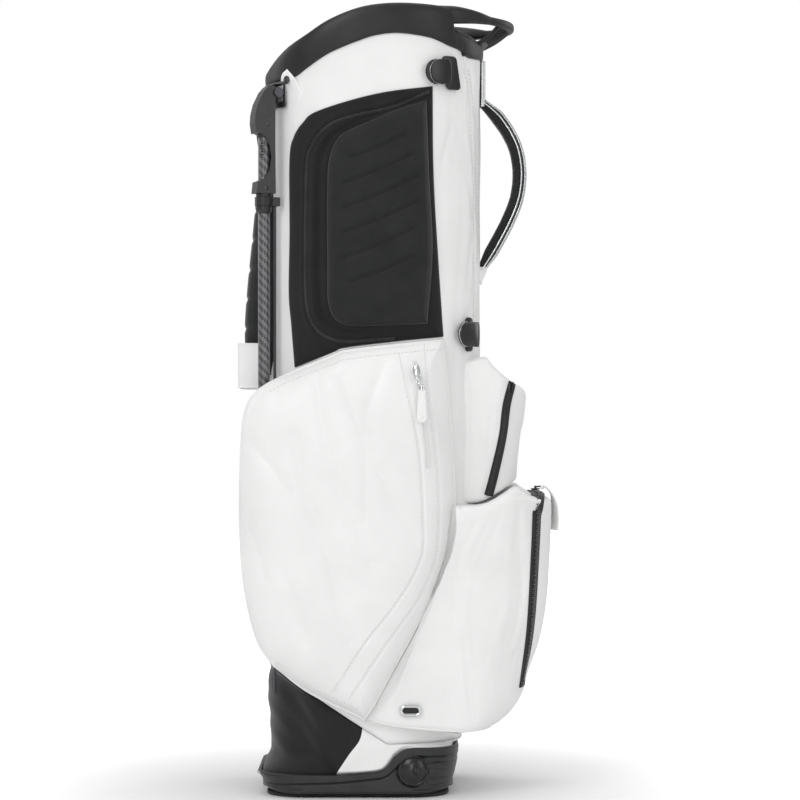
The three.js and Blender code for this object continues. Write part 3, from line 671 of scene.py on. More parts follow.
def add_tube():
    """The white club tube with soft folds towards the spine and sewn panel seams."""
    columns, rows = 432, 210
    angle = np.arange(columns) / columns * 2 * np.pi
    side_x = tube_point(angle, np.full(columns, 820.0))[:, 0]
    low = rim_height(tube_point(angle, np.full(columns, 70.0))[:, 0])
    high = COLLAR_LOW(side_x) + 2
    t = np.linspace(0, 1, rows)[:, None]
    z = lerp(low[None, :], high[None, :], t)
    a = np.broadcast_to(angle[None, :], z.shape)
    x = tube_point(a, z)[..., 0]
    folded = np.minimum(a, 2 * np.pi - a)
    seam = spine_seam_angle(z)
    spine = 1 - smoothstep(folded, 0.6, 1.1)
    folds = spine * (0.7 * np.sin(z / 46 + 3 * np.sin(folded * 9)) * np.sin(folded * 11 + z / 150)
                     + 0.4 * np.sin(z / 19 + folded * 6) * smoothstep(z, 480, 640))
    for line, width, depth in SPINE_FOLDS:
        folds = folds - groove(distance_to_line(x, z, line), width, depth)
    side_dip = -1.1 * np.exp(-((folded - 2.15) / 0.16) ** 2) * (0.6 + 0.4 * np.sin(z / 61 + 1.0))
    rim_roll = -1.6 * (1 - smoothstep(t, 0, 0.012))
    offset = folds + side_dip + rim_roll - groove((folded - seam) * 95, 1.8, 1.4)
    outer = tube_point(a, z, offset)
    inner = tube_point(a[::-1], z[::-1], -3.2)
    grid = np.concatenate([outer, inner])
    faces = grid_faces(2 * rows, columns, True, True)
    slots = (np.arange(len(faces)) // columns >= rows).astype(int)
    tube = make_object("tube_skin", grid.reshape(-1, 3), faces, [WHITE, LINING], slots)
    stand_in(tube, "main_tube", BODY)
    add_spine_stitching()


def add_spine_stitching():
    body = Parts()
    for side in (RIGHT, LEFT):
        for shift in (-0.045, 0.045):
            z = np.linspace(548, 828, 60)
            angle = side * (spine_seam_angle(z) + shift)
            path = tube_point(angle, z, 0.1)
            up = tube_point(angle, z, 5.0) - path
            body.add(*stitches(path, up, 3.2, 1.4, 0.38, 0.15))
    thread = body.build("spine_stitching", [WHITE_THREAD])
    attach(thread, BODY)


def add_collar():
    """Moulded collar: a band with a rolled lip, a thin parting line and a grab loop."""
    columns = 640
    angle = np.arange(columns) / columns * 2 * np.pi
    x = tube_point(angle, np.full(columns, 855.0), 3)[:, 0]
    parting = groove(x - 110, 1.3, 2.0)
    low, top = COLLAR_LOW(x), collar_top(x)
    middle = (low + top) / 2
    bulge = np.clip((top - low) / 34, 0.35, 1)
    profile = [
        (0.4, low + 0.2), (2.4, low - 0.4), (3.4, low + 1.6), (3.6 + 0.5 * bulge, lerp(low, middle, 0.5)),
        (3.6 + 1.1 * bulge, middle), (3.4 + bulge, lerp(middle, top, 0.55)), (3.1, top - 4.5),
        (2.2, top - 1.8),
        (0.4, top - 0.4), (-2.2, top), (-5.0, top - 0.5), (-7.0, top - 2.4), (-7.8, top - 5.5),
        (-8.0, top - 12), (-8.0, low - 8), (-7.2, low - 13), (-5, low - 13.6), (-4, low - 12),
        (-3.9, low - 2),
    ]
    rings = [tube_point(angle, np.broadcast_to(z, angle.shape), o - parting * (1 < i < 8))
             for i, (o, z) in enumerate(profile)]
    grid = np.stack(rings)
    body = Parts()
    body.add(grid.reshape(-1, 3), grid_faces(len(profile), columns, True, True))
    collar = body.build("collar_shell", [RUBBER])
    smooth(collar, 1)
    stand_in(collar, "top_collar", BODY)
    add_grab_loop()


LOOP_HALF = [(88, -85, 889), (110, -79.5, 889), (132, -69, 888), (150, -55, 886), (166, -38, 885),
             (174, -20, 884.5), (176.5, 0, 884.5)]

LOOP_CURVE = spline(LOOP_HALF, 10)[::-1]
LOOP_X, LOOP_Y, LOOP_Z = LOOP_CURVE[:, 0], -LOOP_CURVE[:, 1], LOOP_CURVE[:, 2]


def add_grab_loop():
    """The loop over the spine: two deep arms, and a ribbed lip that runs down to the collar."""
    path = spline(LOOP_HALF + [(x, -y, z) for x, y, z in reversed(LOOP_HALF[:-1])], 10)
    path = resample(path, 140)
    angle = np.arange(24) / 24 * 2 * np.pi
    power = 2 / 2.6
    section = np.column_stack([5.4 * signed_power(np.cos(angle), power),
                               7.4 * signed_power(np.sin(angle), power)])
    scale = np.interp(np.abs(path[:, 1]), [0, 38, 55, 69, 80], [0.68, 0.62, 0.62, 1.0, 1.36])
    verts, faces = sweep(path, section, (0, 0, 1), scale=scale)
    body = Parts().add(verts, faces)
    rows, columns = 30, 48
    turn = np.linspace(-1, 1, columns)
    reach = 44
    sheet = []
    for t in np.linspace(0, 1, rows):
        y_collar = turn * 40
        root = tube_point(tube_angle_at_y(y_collar, 862), 862.0, 1.5)
        tip = np.column_stack([np.interp(np.abs(turn * reach), LOOP_Y, LOOP_X) - 1.0, turn * reach,
                               np.interp(np.abs(turn * reach), LOOP_Y, LOOP_Z) - 3.5])
        line = lerp(root, tip, t)
        line[:, 2] -= 2.6 * math.sin(math.pi * t)
        sheet.append(line)
    lower = np.stack(sheet)
    upper = lower + np.array([-0.8, 0, 2.6])
    grid = np.concatenate([lower, upper[::-1]])
    body.add(grid, sheet_faces(rows, columns))
    for j in range(4, columns - 4, 3):
        rib = lower[7:-2, j] + np.array([0.3, 0, -0.4])
        body.add(*sweep(rib, round_section(0.75, 0.9, 8), (0, 0, 1)))
    for j in (1, columns - 2):
        edge = lower[:, j] + np.array([0.2, 0, -0.3])
        body.add(*sweep(edge, round_section(1.5, 1.5, 10), (0, 0, 1)))
    loop = body.build("collar_grab_loop", [RUBBER], 60)
    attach(loop, BODY)


def smooth(obj, levels):
    """Rounds a mesh by subdivision and keeps the result."""
    modifier = obj.modifiers.new("round", "SUBSURF")
    modifier.levels = levels
    modifier.render_levels = levels
    apply_modifiers(obj)


def apply_modifiers(obj):
    graph = bpy.context.evaluated_depsgraph_get()
    mesh = bpy.data.meshes.new_from_object(obj.evaluated_get(graph))
    obj.modifiers.clear()
    obj.data = mesh
    mesh.polygons.foreach_set("use_smooth", [True] * len(mesh.polygons))


def add_dividers():
    """Fleece-covered divider bars over thin full-length cloth sleeves."""
    low, high = box_mm("club_dividers")
    middle_x = (low[0] + high[0]) / 2
    top = high[2]
    body = Parts()
    bar = slab_section(10, 38, 4.6, 5)
    for path in ([(low[0] + 2, 0), (high[0] - 2, 0)], [(middle_x, low[1] + 2), (middle_x, high[1] - 2)]):
        line = resample(np.array([(x, y, top - 40) for x, y in path]), 40)
        body.add(*sweep(line, bar, (0, 0, 1)))
    sleeve_top = top - 38
    for ends in ([(low[0] + 3, 0), (high[0] - 3, 0)], [(middle_x, low[1] + 3), (middle_x, high[1] - 3)]):
        line = resample(np.array([(x, y, 0) for x, y in ends]), 60)
        way = (line[-1] - line[0]) / np.linalg.norm(line[-1] - line[0])
        across = np.array([-way[1], way[0], 0])
        rows = []
        for t in np.linspace(0, 1, 40):
            z = lerp(rim_height(line[:, 0]) + 12, sleeve_top, t)
            narrow = 1 - 0.06 * (1 - t)
            centre = np.array([middle_x, 0, 0])
            base = centre + (line - centre) * narrow
            sway = 1.6 * np.sin(z / 90 + line[:, 0] / 30 + line[:, 1] / 25)
            rows.append(base + across * sway[:, None] + np.column_stack([0 * z, 0 * z, z]))
        front = np.stack(rows)
        back = front + across * 1.4
        grid = np.concatenate([front, back[::-1]])
        body.add(grid, sheet_faces(40, 60), 1)
    divider = body.build("divider_pad", [FOAM, LINING], 50)
    stand_in(divider, "club_dividers", BODY)


# ---- Lower body and base ---------------------------------------------------------------------

BOOT_TOP = line_height([
    (-117, 28), (-70, 27.8), (-26, 27.5), (8, 29.2), (25, 31.5), (33, 37), (40, 47), (50, 55),
    (62, 57.4), (80, 57.6), (114, 57)])
BOOT_LOW, BOOT_HIGH = box_mm("base_boot")
BOOT_HALF = 97
BOOT_MIDDLE_X = (BOOT_LOW[0] + BOOT_HIGH[0]) / 2
BOOT_HALF_X = (BOOT_HIGH[0] - BOOT_LOW[0]) / 2
BOSS = np.array([62.0, 32.0])
BOSS_RADIUS = 17.5
GUSSET_EDGE = [(12, 112), (5.6, 87.5), (1.6, 67), (-11, 49.7), (-26, 27), (-34, 12)]


def boot_plan(points, inset):
    """Moves points straight out or in to the plan of the base."""
    out = points.copy()
    away = points[..., 0] - BOOT_MIDDLE_X
    along = np.abs(away / (BOOT_HALF_X - inset))
    across = np.abs(points[..., 1] / (BOOT_HALF - inset))
    reach = (along ** 5 + across ** 5) ** 0.2
    out[..., 0] = BOOT_MIDDLE_X + away / reach
    out[..., 1] = points[..., 1] / reach
    return out


def add_skirt():
    """Cloth between the tube and the base: black at the front, white behind a slanting seam."""
    half_columns, seam_column, rows = 180, 100, 110
    edge = spline(GUSSET_EDGE, 8)[::-1]
    share = np.arange(half_columns + 1) / half_columns
    seam_share = seam_column / half_columns

    def column_angles(z):
        seam_angle = tube_angle(np.interp(z, edge[:, 1], edge[:, 0]), z)
        behind = share / seam_share * seam_angle
        before = seam_angle + (share - seam_share) / (1 - seam_share) * (math.pi - seam_angle)
        return np.where(share <= seam_share, behind, before)

    middle_angle = column_angles(np.full(half_columns + 1, 60.0))
    side_x = tube_point(middle_angle, np.full(half_columns + 1, 60.0))[:, 0]
    t = np.linspace(0, 1, rows)[:, None]
    z = lerp(17.0, (rim_height(side_x) + 26)[None, :], t)
    a = column_angles(z)
    x = tube_point(a, z)[..., 0]
    seam_x = np.interp(z, edge[:, 1], edge[:, 0])
    boot_top = BOOT_TOP(x)
    rim = rim_height(x)
    free = smoothstep(z, boot_top - 1, boot_top + 9) * (1 - smoothstep(z, rim - 9, rim + 1))
    black = smoothstep(seam_x - x, 0, 16)
    slant = z * 0.62 + x
    folds = (1.9 * np.sin(slant / 8.5 + 1.3 * np.sin(z / 26) + 0.6)
             + 1.5 * np.sin(slant / 19 - z / 37 + 2.1)
             + 0.35 * np.sin(slant / 3.7 + z / 15))
    inside_tube = smoothstep(z, rim - 2.5, rim + 1)
    front = smoothstep(-x, 70, 104)
    belly = front * 1.6 * smoothstep(z, 84, 108)
    offset = -1.0 + black * free * (folds - 1.2) + belly
    offset = offset + (1 - black) * free * 0.35 * np.sin(z / 9 + x / 17)
    offset = offset - (2.6 + belly) * inside_tube
    offset = offset - groove(a - column_angles(z)[:, [seam_column]], 0.012, 0.8)
    into_boot = 1 - smoothstep(z, boot_top - 1, boot_top + lerp(3, 22, black))

    def wall(thickness):
        points = tube_point(a, z, offset - thickness)
        nominal = tube_point(a, z, 0.0)
        target = boot_plan(nominal, 4.4 + thickness)
        return lerp(points, target, into_boot[..., None])

    quarter = np.concatenate([wall(0.0), wall(1.3)[::-1]])
    mirrored = quarter[:, 1:-1][:, ::-1] * np.array([1, -1, 1])
    grid = np.concatenate([quarter, mirrored], axis=1)
    columns = grid.shape[1]
    faces = grid_faces(2 * rows, columns, True, True)
    column = np.arange(len(faces)) % columns
    slots = ((column >= seam_column) & (column < columns - seam_column)).astype(int)
    skirt = make_object("lower_body_cloth", grid.reshape(-1, 3), faces, [WHITE, GUSSET], slots)
    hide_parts("lower_skirt")
    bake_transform(skirt)


def boot_ring(inset, count):
    """Nominal plan points of the base, the same count for every inset."""
    corner = 46 - inset
    x_low, x_high, half = -115.5 + inset, 113 - inset, BOOT_HALF - inset
    centres = ((x_high - corner, half - corner, 0), (x_low + corner, half - corner, 90),
               (x_low + corner, -half + corner, 180), (x_high - corner, -half + corner, 270))
    points = []
    for i, (cx, cy, start) in enumerate(centres):
        arc = np.radians(np.linspace(start, start + 90, 15))
        points += [(cx + corner * math.cos(a), cy + corner * math.sin(a)) for a in arc]
        nx, ny, turn = centres[(i + 1) % 4]
        last = np.array(points[-1])
        following = np.array([nx + corner * math.cos(math.radians(turn)),
                              ny + corner * math.sin(math.radians(turn))])
        steps = np.linspace(0, 1, count // 4 + 1)[1:-1]
        points += [tuple(lerp(last, following, s)) for s in steps]
    return np.array(points)


def boot_lean(x, z):
    """Pulls the ends of the base in towards its sole."""
    back = np.interp(z, [0, 4.5, 10, 26, 40, 60], [97, 99, 105, 110, 113, 113])
    front = np.interp(z, [0, 4.5, 13, 28, 60], [-101, -103, -107, -115.5, -115.5])
    return np.where(x > 0, x * back / 113, x * front / -115.5)


def boot_surface(x, z):
    """How far the side wall of the base stands out: a rim band, a rounded boss and soft ribs."""
    top = BOOT_TOP(x)
    band_low = top - np.interp(x, [-115, 18, 30, 41, 52, 62, 113], [13, 7.5, 9, 15, 12, 9.5, 10])
    band = 1.5 * smoothstep(z, band_low - 0.3, band_low + 0.9)
    band_groove = -1.0 * np.exp(-((z - band_low + 1.1) / 0.9) ** 2)
    reach = np.hypot(x - BOSS[0], z - BOSS[1])
    boss = 2.4 * (1 - smoothstep(reach, BOSS_RADIUS - 1.2, BOSS_RADIUS + 0.2))
    moat = -1.5 * np.exp(-((reach - BOSS_RADIUS - 1.2) / 0.9) ** 2) * smoothstep(band_low - z, -1, 1)
    behind = smoothstep(x, 76, 82) * smoothstep(reach, BOSS_RADIUS + 1, BOSS_RADIUS + 3)
    ribs = 0
    for level, width, depth in ((40.5, 0.9, 1.1), (32.3, 0.9, 1.0), (22.5, 1.6, 1.6), (14.5, 0.9, 1.0)):
        ribs = ribs - depth * np.exp(-((z - level) / width) ** 2)
    swell = 0.7 * smoothstep(z, 24, 28) * (1 - smoothstep(z, 36, 41))
    lower = -0.9 * np.exp(-((z - 8.7) / 0.8) ** 2) * smoothstep(x, 62, 72)
    notch = 0
    for middle in (-67, 68):
        notch = notch - 1.8 * np.exp(-((x - middle) / 2.6) ** 4) * (1 - smoothstep(z, 9, 11))
    return np.maximum(band, boss) + band_groove + moat + (ribs + swell) * behind + lower + notch


def add_base():
    """The moulded base with its welt, boss and ribs, and a rubber sole."""
    ring = boot_ring(0, 420)
    columns = len(ring)
    wall_rows = 100
    top = BOOT_TOP(ring[:, 0])
    outer = []
    for t in np.linspace(0, 1, wall_rows):
        z = lerp(7.5, top - 1.2, t)
        x = boot_lean(ring[:, 0], z)
        side = np.abs(ring[:, 1]) / BOOT_HALF
        out = boot_surface(x, z) * smoothstep(side, 0.5, 0.98)
        out = out + 1.0 * smoothstep(z, top - 10.5, top - 9.3) * (1 - smoothstep(side, 0.5, 0.98))
        centre = np.column_stack([np.clip(ring[:, 0], -69.5, 67), np.clip(ring[:, 1], -51, 51)])
        way = ring - centre
        way /= np.maximum(np.linalg.norm(way, axis=1, keepdims=True), 1e-6)
        outer.append(np.column_stack([x + way[:, 0] * out, ring[:, 1] + way[:, 1] * out, z]))
    rows = []
    for inset, height in ((30, 4.5), (6, 4.5), (2.4, 4.9), (0.7, 6.0)):
        flat = boot_ring(inset, 420)
        rows.append(np.column_stack([boot_lean(flat[:, 0], 4.5), flat[:, 1], np.full(columns, height)]))
    rows += outer
    for inset, drop in ((0.1, 0.3), (1.2, 0), (2.6, 0.2), (3.8, 1.0)):
        flat = boot_ring(inset, 420)
        rows.append(np.column_stack([boot_lean(flat[:, 0], top), flat[:, 1], top - drop]))
    for inset, height in ((4, 30), (4, 12), (5.5, 10), (30, 10)):
        flat = boot_ring(inset, 420)
        z = np.minimum(height, top - 3)
        rows.append(np.column_stack([boot_lean(flat[:, 0], z), flat[:, 1], z]))
    grid = np.stack(rows)
    boot = make_object("base_shell", grid.reshape(-1, 3), capped_faces(len(rows), columns), [BOOT], None, 40)
    stand_in(boot, "base_boot", "base")
    add_welt_stitching(ring, top)
    add_boss_buttons()
    add_sole()


def add_welt_stitching(ring, top):
    body = Parts()
    line = np.column_stack([boot_lean(ring[:, 0], top), ring[:, 1], top - 3.6])
    outward = np.column_stack([ring[:, 0] - np.clip(ring[:, 0], -69.5, 67),
                               ring[:, 1] - np.clip(ring[:, 1], -51, 51), 0 * top])
    outward /= np.maximum(np.linalg.norm(outward, axis=1, keepdims=True), 1e-6)
    line = line + outward * 0.75
    closed_line = np.vstack([line, line[:1]])
    body.add(*stitches(closed_line, np.vstack([outward, outward[:1]]), 3.4, 1.5, 0.42, 0.2))
    thread = body.build("base_welt_stitching", [BLACK_THREAD])
    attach(thread, "base")


def add_boss_buttons():
    """A glossy dome over each pivot pin, with an off-centre button."""
    for name, side in SIDES:
        dome = [(0, 4.6), (2.5, 4.55), (5.5, 4.2), (8.5, 3.5), (11, 2.6), (13.2, 1.5), (14.6, 0.5),
                (14.9, -1), (0, -1)]
        verts, faces = revolve(spline(dome[:7], 4).tolist() + dome[7:], 64)
        wall = side * (BOOT_HALF + 2.3)
        body = Parts().add(placed(verts, (BOSS[0], wall, BOSS[1]), (0, side, 0)), faces)
        rim = [(15.4, -0.6), (15.5, 0.5), (16.1, 0.8), (16.9, 0.6), (17.2, -0.6)]
        ring, ring_faces = revolved_ring(rim, 64)
        body.add(placed(ring, (BOSS[0], wall, BOSS[1]), (0, side, 0)), ring_faces)
        pin, pin_faces = revolve([(0, 0), (4, 0), (4, -22), (0, -22)], 32)
        body.add(placed(pin, (BOSS[0], wall, BOSS[1]), (0, side, 0)), pin_faces)
        button = [(0, 1.5), (2.2, 1.35), (3.6, 0.8), (4.2, 0.1), (4.3, -0.5), (5.0, -0.5), (5.2, 0.0),
                  (5.6, -0.2), (5.7, -1.4), (0, -1.4)]
        verts, faces = revolve(button, 40)
        tilt = (0.3, side, 0)
        body.add(placed(verts, (BOSS[0] + 4.7, wall + side * 4.3, BOSS[1]), tilt), faces)
        made = body.build(name + "_boss_dome", [GLOSS], 40)
        stand_in(made, name + "_pivot_cap", "base")


def add_sole():
    """Rubber sole pad."""
    flat = boot_ring(10, 200)
    low, high = box_mm("sole_pad")
    count = len(flat)
    ring_low, ring_high = flat[:, 0].min(), flat[:, 0].max()
    scale_x = (high[0] - low[0]) / (ring_high - ring_low)
    centre_x = (high[0] + low[0]) / 2
    flat[:, 0] = centre_x + (flat[:, 0] - (ring_high + ring_low) / 2) * scale_x
    rows = []
    for inset, z in ((1.0, high[2] + 0.4), (0.0, high[2] - 0.8), (0.0, 1.2), (1.0, 0.1), (3.0, 0.0)):
        shrink = 1 - inset / 90
        rows.append(np.column_stack([centre_x + (flat[:, 0] - centre_x) * shrink, flat[:, 1] * shrink,
                                     np.full(count, z)]))
    faces = capped_faces(len(rows), count)
    sole = make_object("sole_tread", np.vstack(rows), faces, [SOLE_RUBBER], None, 40)
    stand_in(sole, "sole_pad", "base")


# ---- Legs ------------------------------------------------------------------------------------


def polish(node, material, bevel, angle=38):
    """Keeps a moulded CAD node: flat facets merged, edges rounded, curved faces smoothed."""
    obj = frame["nodes"][node]
    obj.data.materials.clear()
    obj.data.materials.append(material)
    merge = obj.modifiers.new("merge", "DECIMATE")
    merge.decimate_type = "DISSOLVE"
    merge.angle_limit = math.radians(1.0)
    if bevel:
        edge = obj.modifiers.new("edge", "BEVEL")
        edge.width = bevel * MM
        edge.segments = 3
        edge.limit_method = "ANGLE"
        edge.angle_limit = math.radians(angle)
        edge.harden_normals = False
    corners = obj.modifiers.new("corners", "WEIGHTED_NORMAL")
    corners.keep_sharp = True
    obj.data.polygons.foreach_set("use_smooth", [True] * len(obj.data.polygons))
    return obj


def add_legs():
    for name, side in SIDES:
        leg = name + "_leg"
        polish(name + "_leg_casing", GLOSS, 0.9)
        polish(name + "_rod_collar", SHELL, 0.7)
        polish(name + "_actuator_rod", STEEL, 0.0)
        polish(name + "_leg_pin", STEEL, 0.9)
        add_carbon_tube(name, side, leg)
        add_foot(name, side, leg)
        add_leg_details(name, side, leg)


def add_carbon_tube(name, side, leg):
    """Carbon tube whose UVs run in millimetres round and along it."""
    heights = np.linspace(-42, -606, 140)
    sides = 48
    angle = np.arange(sides) / sides * 2 * np.pi
    radius = 6.8
    rows = [np.column_stack([-14 + radius * np.cos(angle), radius * np.sin(angle), np.full(sides, z)])
            for z in heights]
    grid = np.stack(rows).reshape(-1, 3)
    faces = capped_faces(len(heights), sides)
    tube = make_object(name + "_carbon_leg", from_leg(grid, side), faces, [CARBON], None, 60)
    layer = tube.data.uv_layers.new(name="tow")
    origin, x_axis, y_axis = leg_frame(side)
    verts = np.array([v.co for v in tube.data.vertices]) / MM - origin
    around = np.arctan2(verts @ y_axis, verts @ x_axis + 14) * radius
    whole = 2 * math.pi * radius
    fit = round(whole / 9.6) * 9.6 / whole
    for polygon in tube.data.polygons:
        values = np.array([around[v] for v in polygon.vertices])
        if values.max() - values.min() > radius * math.pi:
            values = np.where(values < 0, values + whole, values)
        for loop, value in zip(polygon.loop_indices, values):
            vertex = tube.data.loops[loop].vertex_index
            layer.data[loop].uv = (value * fit, verts[vertex, 2])
    stand_in(tube, name + "_leg_tube", leg)


def add_foot(name, side, leg):
    """Rubber foot with grip rings."""
    profile = [(0, -572), (7.4, -572), (8.0, -573), (8.3, -576)]
    for k in range(6):
        z = -579 - k * 5.4
        profile += [(9.3, z), (9.5, z - 1.4), (9.3, z - 2.8), (8.6, z - 3.4), (8.6, z - 4.8)]
    profile += [(9.2, -611), (8.2, -614.6), (6.0, -616), (0, -616)]
    verts, faces = revolve(profile, 40)
    foot = make_object(name + "_rubber_foot", from_leg(verts + np.array([-14, 0, 0]), side), faces,
                       [SOLE_RUBBER], None, 50)
    stand_in(foot, name + "_leg_foot", leg)


def add_leg_details(name, side, leg):
    """Collars, a ribbed plug and screws on the leg."""
    body = Parts()
    middle = np.array([-14, 0, 0])
    ferrule = [(6.9, -45), (8.2, -45.4), (8.5, -47), (8.5, -50), (8.1, -51.2), (6.9, -51.6)]
    lower = [(6.9, -114), (8.9, -114.4), (9.2, -116), (9.2, -118), (8.6, -119), (8.6, -128.6), (9.3, -129.4),
             (9.3, -133), (8.7, -135.6), (7.4, -137.6), (6.9, -138)]
    for profile in (ferrule, lower):
        verts, faces = revolved_ring(profile, 48)
        body.add(verts + middle, faces)
    for k in range(5):
        bar, bar_faces = sweep([(-20.4, -6.2, -58 - k * 3.2), (-7.6, -6.2, -58 - k * 3.2)],
                               round_section(0.55), (0, 0, 1))
        body.add(bar, bar_faces)
    verts = np.vstack(body.verts)
    detail = make_object(name + "_leg_collars", from_leg(verts, side), body.faces, [SHELL], None, 40)
    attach(detail, leg)
    screws = Parts()
    for x, z in ((-12.5, -36), (-14.5, -109)):
        for face in (-1, 1):
            head = revolve([(0, 1.0), (1.3, 0.95), (2.3, 0.5), (2.6, 0), (2.6, -0.8), (0, -0.8)], 28)
            screws.add(placed(head[0], (x, face * 9.5, z), (0, face, 0)), head[1])
    heads = make_object(name + "_leg_screws", from_leg(np.vstack(screws.verts), side), screws.faces,
                        [STEEL], None, 40)
    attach(heads, leg)


def add_leg_housing():
    """The moulded hinge bracket, its rivets and the white cuff that holds it."""
    housing = polish("leg_hinge_housing", SHELL, 0.7)
    for name, side in SIDES:
        add_hinge_cuff(name, side)


CUFF = [[(-89.5, 789), (-88.5, 819), (-81.6, 827.5)], [(-81.6, 827.5), (-76, 821), (-68, 811)],
        [(-68, 811), (-64, 800), (-68, 789)], [(-68, 789), (-78, 786), (-89.5, 789)]]


def add_hinge_cuff(name, side):
    """A pointed leather tab over the lower edge of the collar, with a round rivet."""
    shape = Outline(CUFF, (-78, 806), 140)

    def front(x, z, rho):
        lift = lerp(0.8, 6.2, smoothstep(z, 800, 817))
        low_edge = np.clip(rho, 0, 1) ** 3 * (1 - smoothstep(z, 806, 816))
        return tube_y(x, z, lerp(lift, 0.1, low_edge) - 1.4 * np.clip(rho, 0, 1) ** 14)

    verts, faces = pad_grid(shape.points, shape.centre, 26, front, lambda x, z, rho: tube_y(x, z, -1.0), 0.6)
    verts[:, 1] *= side
    cuff = Parts().add(verts, faces, 0)
    angle = np.array([side * tube_angle(-76.8, 814.5)])
    place = tube_point(angle, 814.5, 7.4)[0]
    outward = tube_point(angle, 814.5, 20.0)[0] - place
    rivet = [(0, 1.0), (2.0, 0.9), (3.2, 0.5), (3.6, 0.1), (4.2, 0.5), (4.6, 0.1), (4.6, -1), (0, -1)]
    head, head_faces = revolve(rivet, 40)
    cuff.add(placed(head, place, outward), head_faces, 1)
    made = cuff.build(name + "_hinge_cuff", [WHITE, STEEL], 50)
    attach(made, BODY)


# ---- Side pockets and panels -----------------------------------------------------------------


def swelling(verts, faces, hold, pressure, cap):
    """How far an inflated cover moves, in mm: the held parts stay, the rest moves by at most cap."""
    obj = make_object("swelling_cover", verts, faces, [WHITE])
    group = obj.vertex_groups.new(name="sewn")
    group.add(np.nonzero(hold)[0].tolist(), 1.0, "REPLACE")
    cloth = obj.modifiers.new("cloth", "CLOTH")
    settings = cloth.settings
    settings.quality = 4
    settings.mass = 0.3
    settings.tension_stiffness = 18
    settings.compression_stiffness = 18
    settings.shear_stiffness = 8
    settings.bending_stiffness = 2.5
    settings.use_pressure = True
    settings.uniform_pressure_force = pressure
    settings.vertex_group_mass = "sewn"
    settings.pin_stiffness = 1.0
    settings.effector_weights.gravity = 0.0
    cloth.collision_settings.use_collision = False
    cloth.collision_settings.use_self_collision = False
    cloth.point_cache.frame_start = 1
    cloth.point_cache.frame_end = 20
    scene = bpy.context.scene
    for step in range(1, 21):
        scene.frame_set(step)
        bpy.context.view_layer.update()
    graph = bpy.context.evaluated_depsgraph_get()
    mesh = obj.evaluated_get(graph).to_mesh()
    moved = np.array([v.co for v in mesh.vertices])
    obj.evaluated_get(graph).to_mesh_clear()
    scene.frame_set(1)
    bpy.data.objects.remove(obj, do_unlink=True)
    change = moved / MM - verts
    length = np.linalg.norm(change, axis=1, keepdims=True)
    return change * np.minimum(1, cap / np.maximum(length, 1e-9))


COARSE = 4


def sewn_pad(shape, rings, power, front, back, lines, hold_share, pressure, cap):
    """A padded cover; its swelling comes from a cloth simulation of a coarser copy."""
    def sewn(x, z):
        return np.min([distance_to_line(x, z, line) for line in lines], axis=0)

    verts, faces = pad_grid(shape.points, shape.centre, rings, front, back, power)
    count, few_rings = len(shape.points), rings // COARSE
    few = count // COARSE
    plain, plain_faces = pad_grid(shape.points[::COARSE], shape.centre, few_rings, front, back, power)
    hold = np.ones(len(plain), bool)
    x, z = plain[:few_rings * few, 0], plain[:few_rings * few, 2]
    hold[:few_rings * few] = (shape.share(x, z) > hold_share) | (sewn(x, z) < 4.5)
    change = swelling(plain, plain_faces, hold, pressure, cap)[:few_rings * few].reshape(few_rings, few, 3)
    change = np.concatenate([change, change[:, :1]], axis=1)
    ring = np.clip(np.arange(1, rings + 1) / COARSE - 1, 0, few_rings - 1)
    column = np.arange(count) / COARSE
    low_ring = np.minimum(ring.astype(int), few_rings - 2)
    low_column = column.astype(int)
    along = (ring - low_ring)[:, None, None]
    across = (column - low_column)[None, :, None]
    near = lerp(change[low_ring][:, low_column], change[low_ring][:, low_column + 1], across)
    far = lerp(change[low_ring + 1][:, low_column], change[low_ring + 1][:, low_column + 1], across)
    fine = lerp(near, far, along).reshape(-1, 3)
    front_verts = verts[:rings * count]
    free = smoothstep(sewn(front_verts[:, 0], front_verts[:, 2]), 0.5, 6.0)
    verts[:rings * count] += fine * free[:, None]
    verts[-2] += fine[:count].mean(axis=0)
    return verts, faces


POCKET_TOP_EDGE = [(-113, 464), (-98, 473.5), (-73, 486), (-29, 503), (-15, 508.5), (38, 515), (96, 521)]
POCKET_SEAM = [(6, 88), (19, 108), (35.5, 139), (68, 198), (91.5, 247), (107, 288), (111, 331)]
POCKET_BACK_EDGE = [(96, 521), (102, 472), (109, 381), (111, 331)]
POCKET_LOW_EDGE = [(6, 88), (-2, 94), (-45.5, 114), (-72.5, 130), (-97, 151)]
POCKET_FRONT_EDGE = [(-97, 151), (-116, 182), (-130, 243), (-134.5, 315), (-132, 414), (-125, 449),
                     (-113, 464)]
POCKET_CENTRE = (-10, 300)
FLAP_LINE = [(49, 503.5), (54, 476), (67.6, 407), (72, 364), (74, 314.5), (73, 279), (59, 247),
             (35.5, 212.5), (8.5, 178.5), (-26, 124)]
FLAP_HEM = [(77, 517), (80, 470), (87, 407), (91, 364), (92, 318), (88, 272), (72, 233), (49, 200),
            (22, 163), (-6, 119)]
VEINS = [
    [(-47, 473), (-38.5, 422), (-28.5, 377), (-18.5, 349), (4.5, 295), (14.5, 271)],
    [(-17, 478), (-10.5, 452), (4.5, 411)],
    [(29.5, 492), (14.5, 450), (9.5, 424), (8.5, 316)],
    [(24.5, 369), (43, 331), (66, 301)],
    [(-120, 402), (-90, 367), (-78, 347.5)],
    [(-130, 323), (-111.5, 281), (-104, 250)],
    [(-72, 414), (-57, 347.5), (-42, 306), (-30, 262)],
    [(-84, 262), (-70, 224), (-56, 178)],
    [(-28, 250), (-22, 215), (-10, 180)],
]
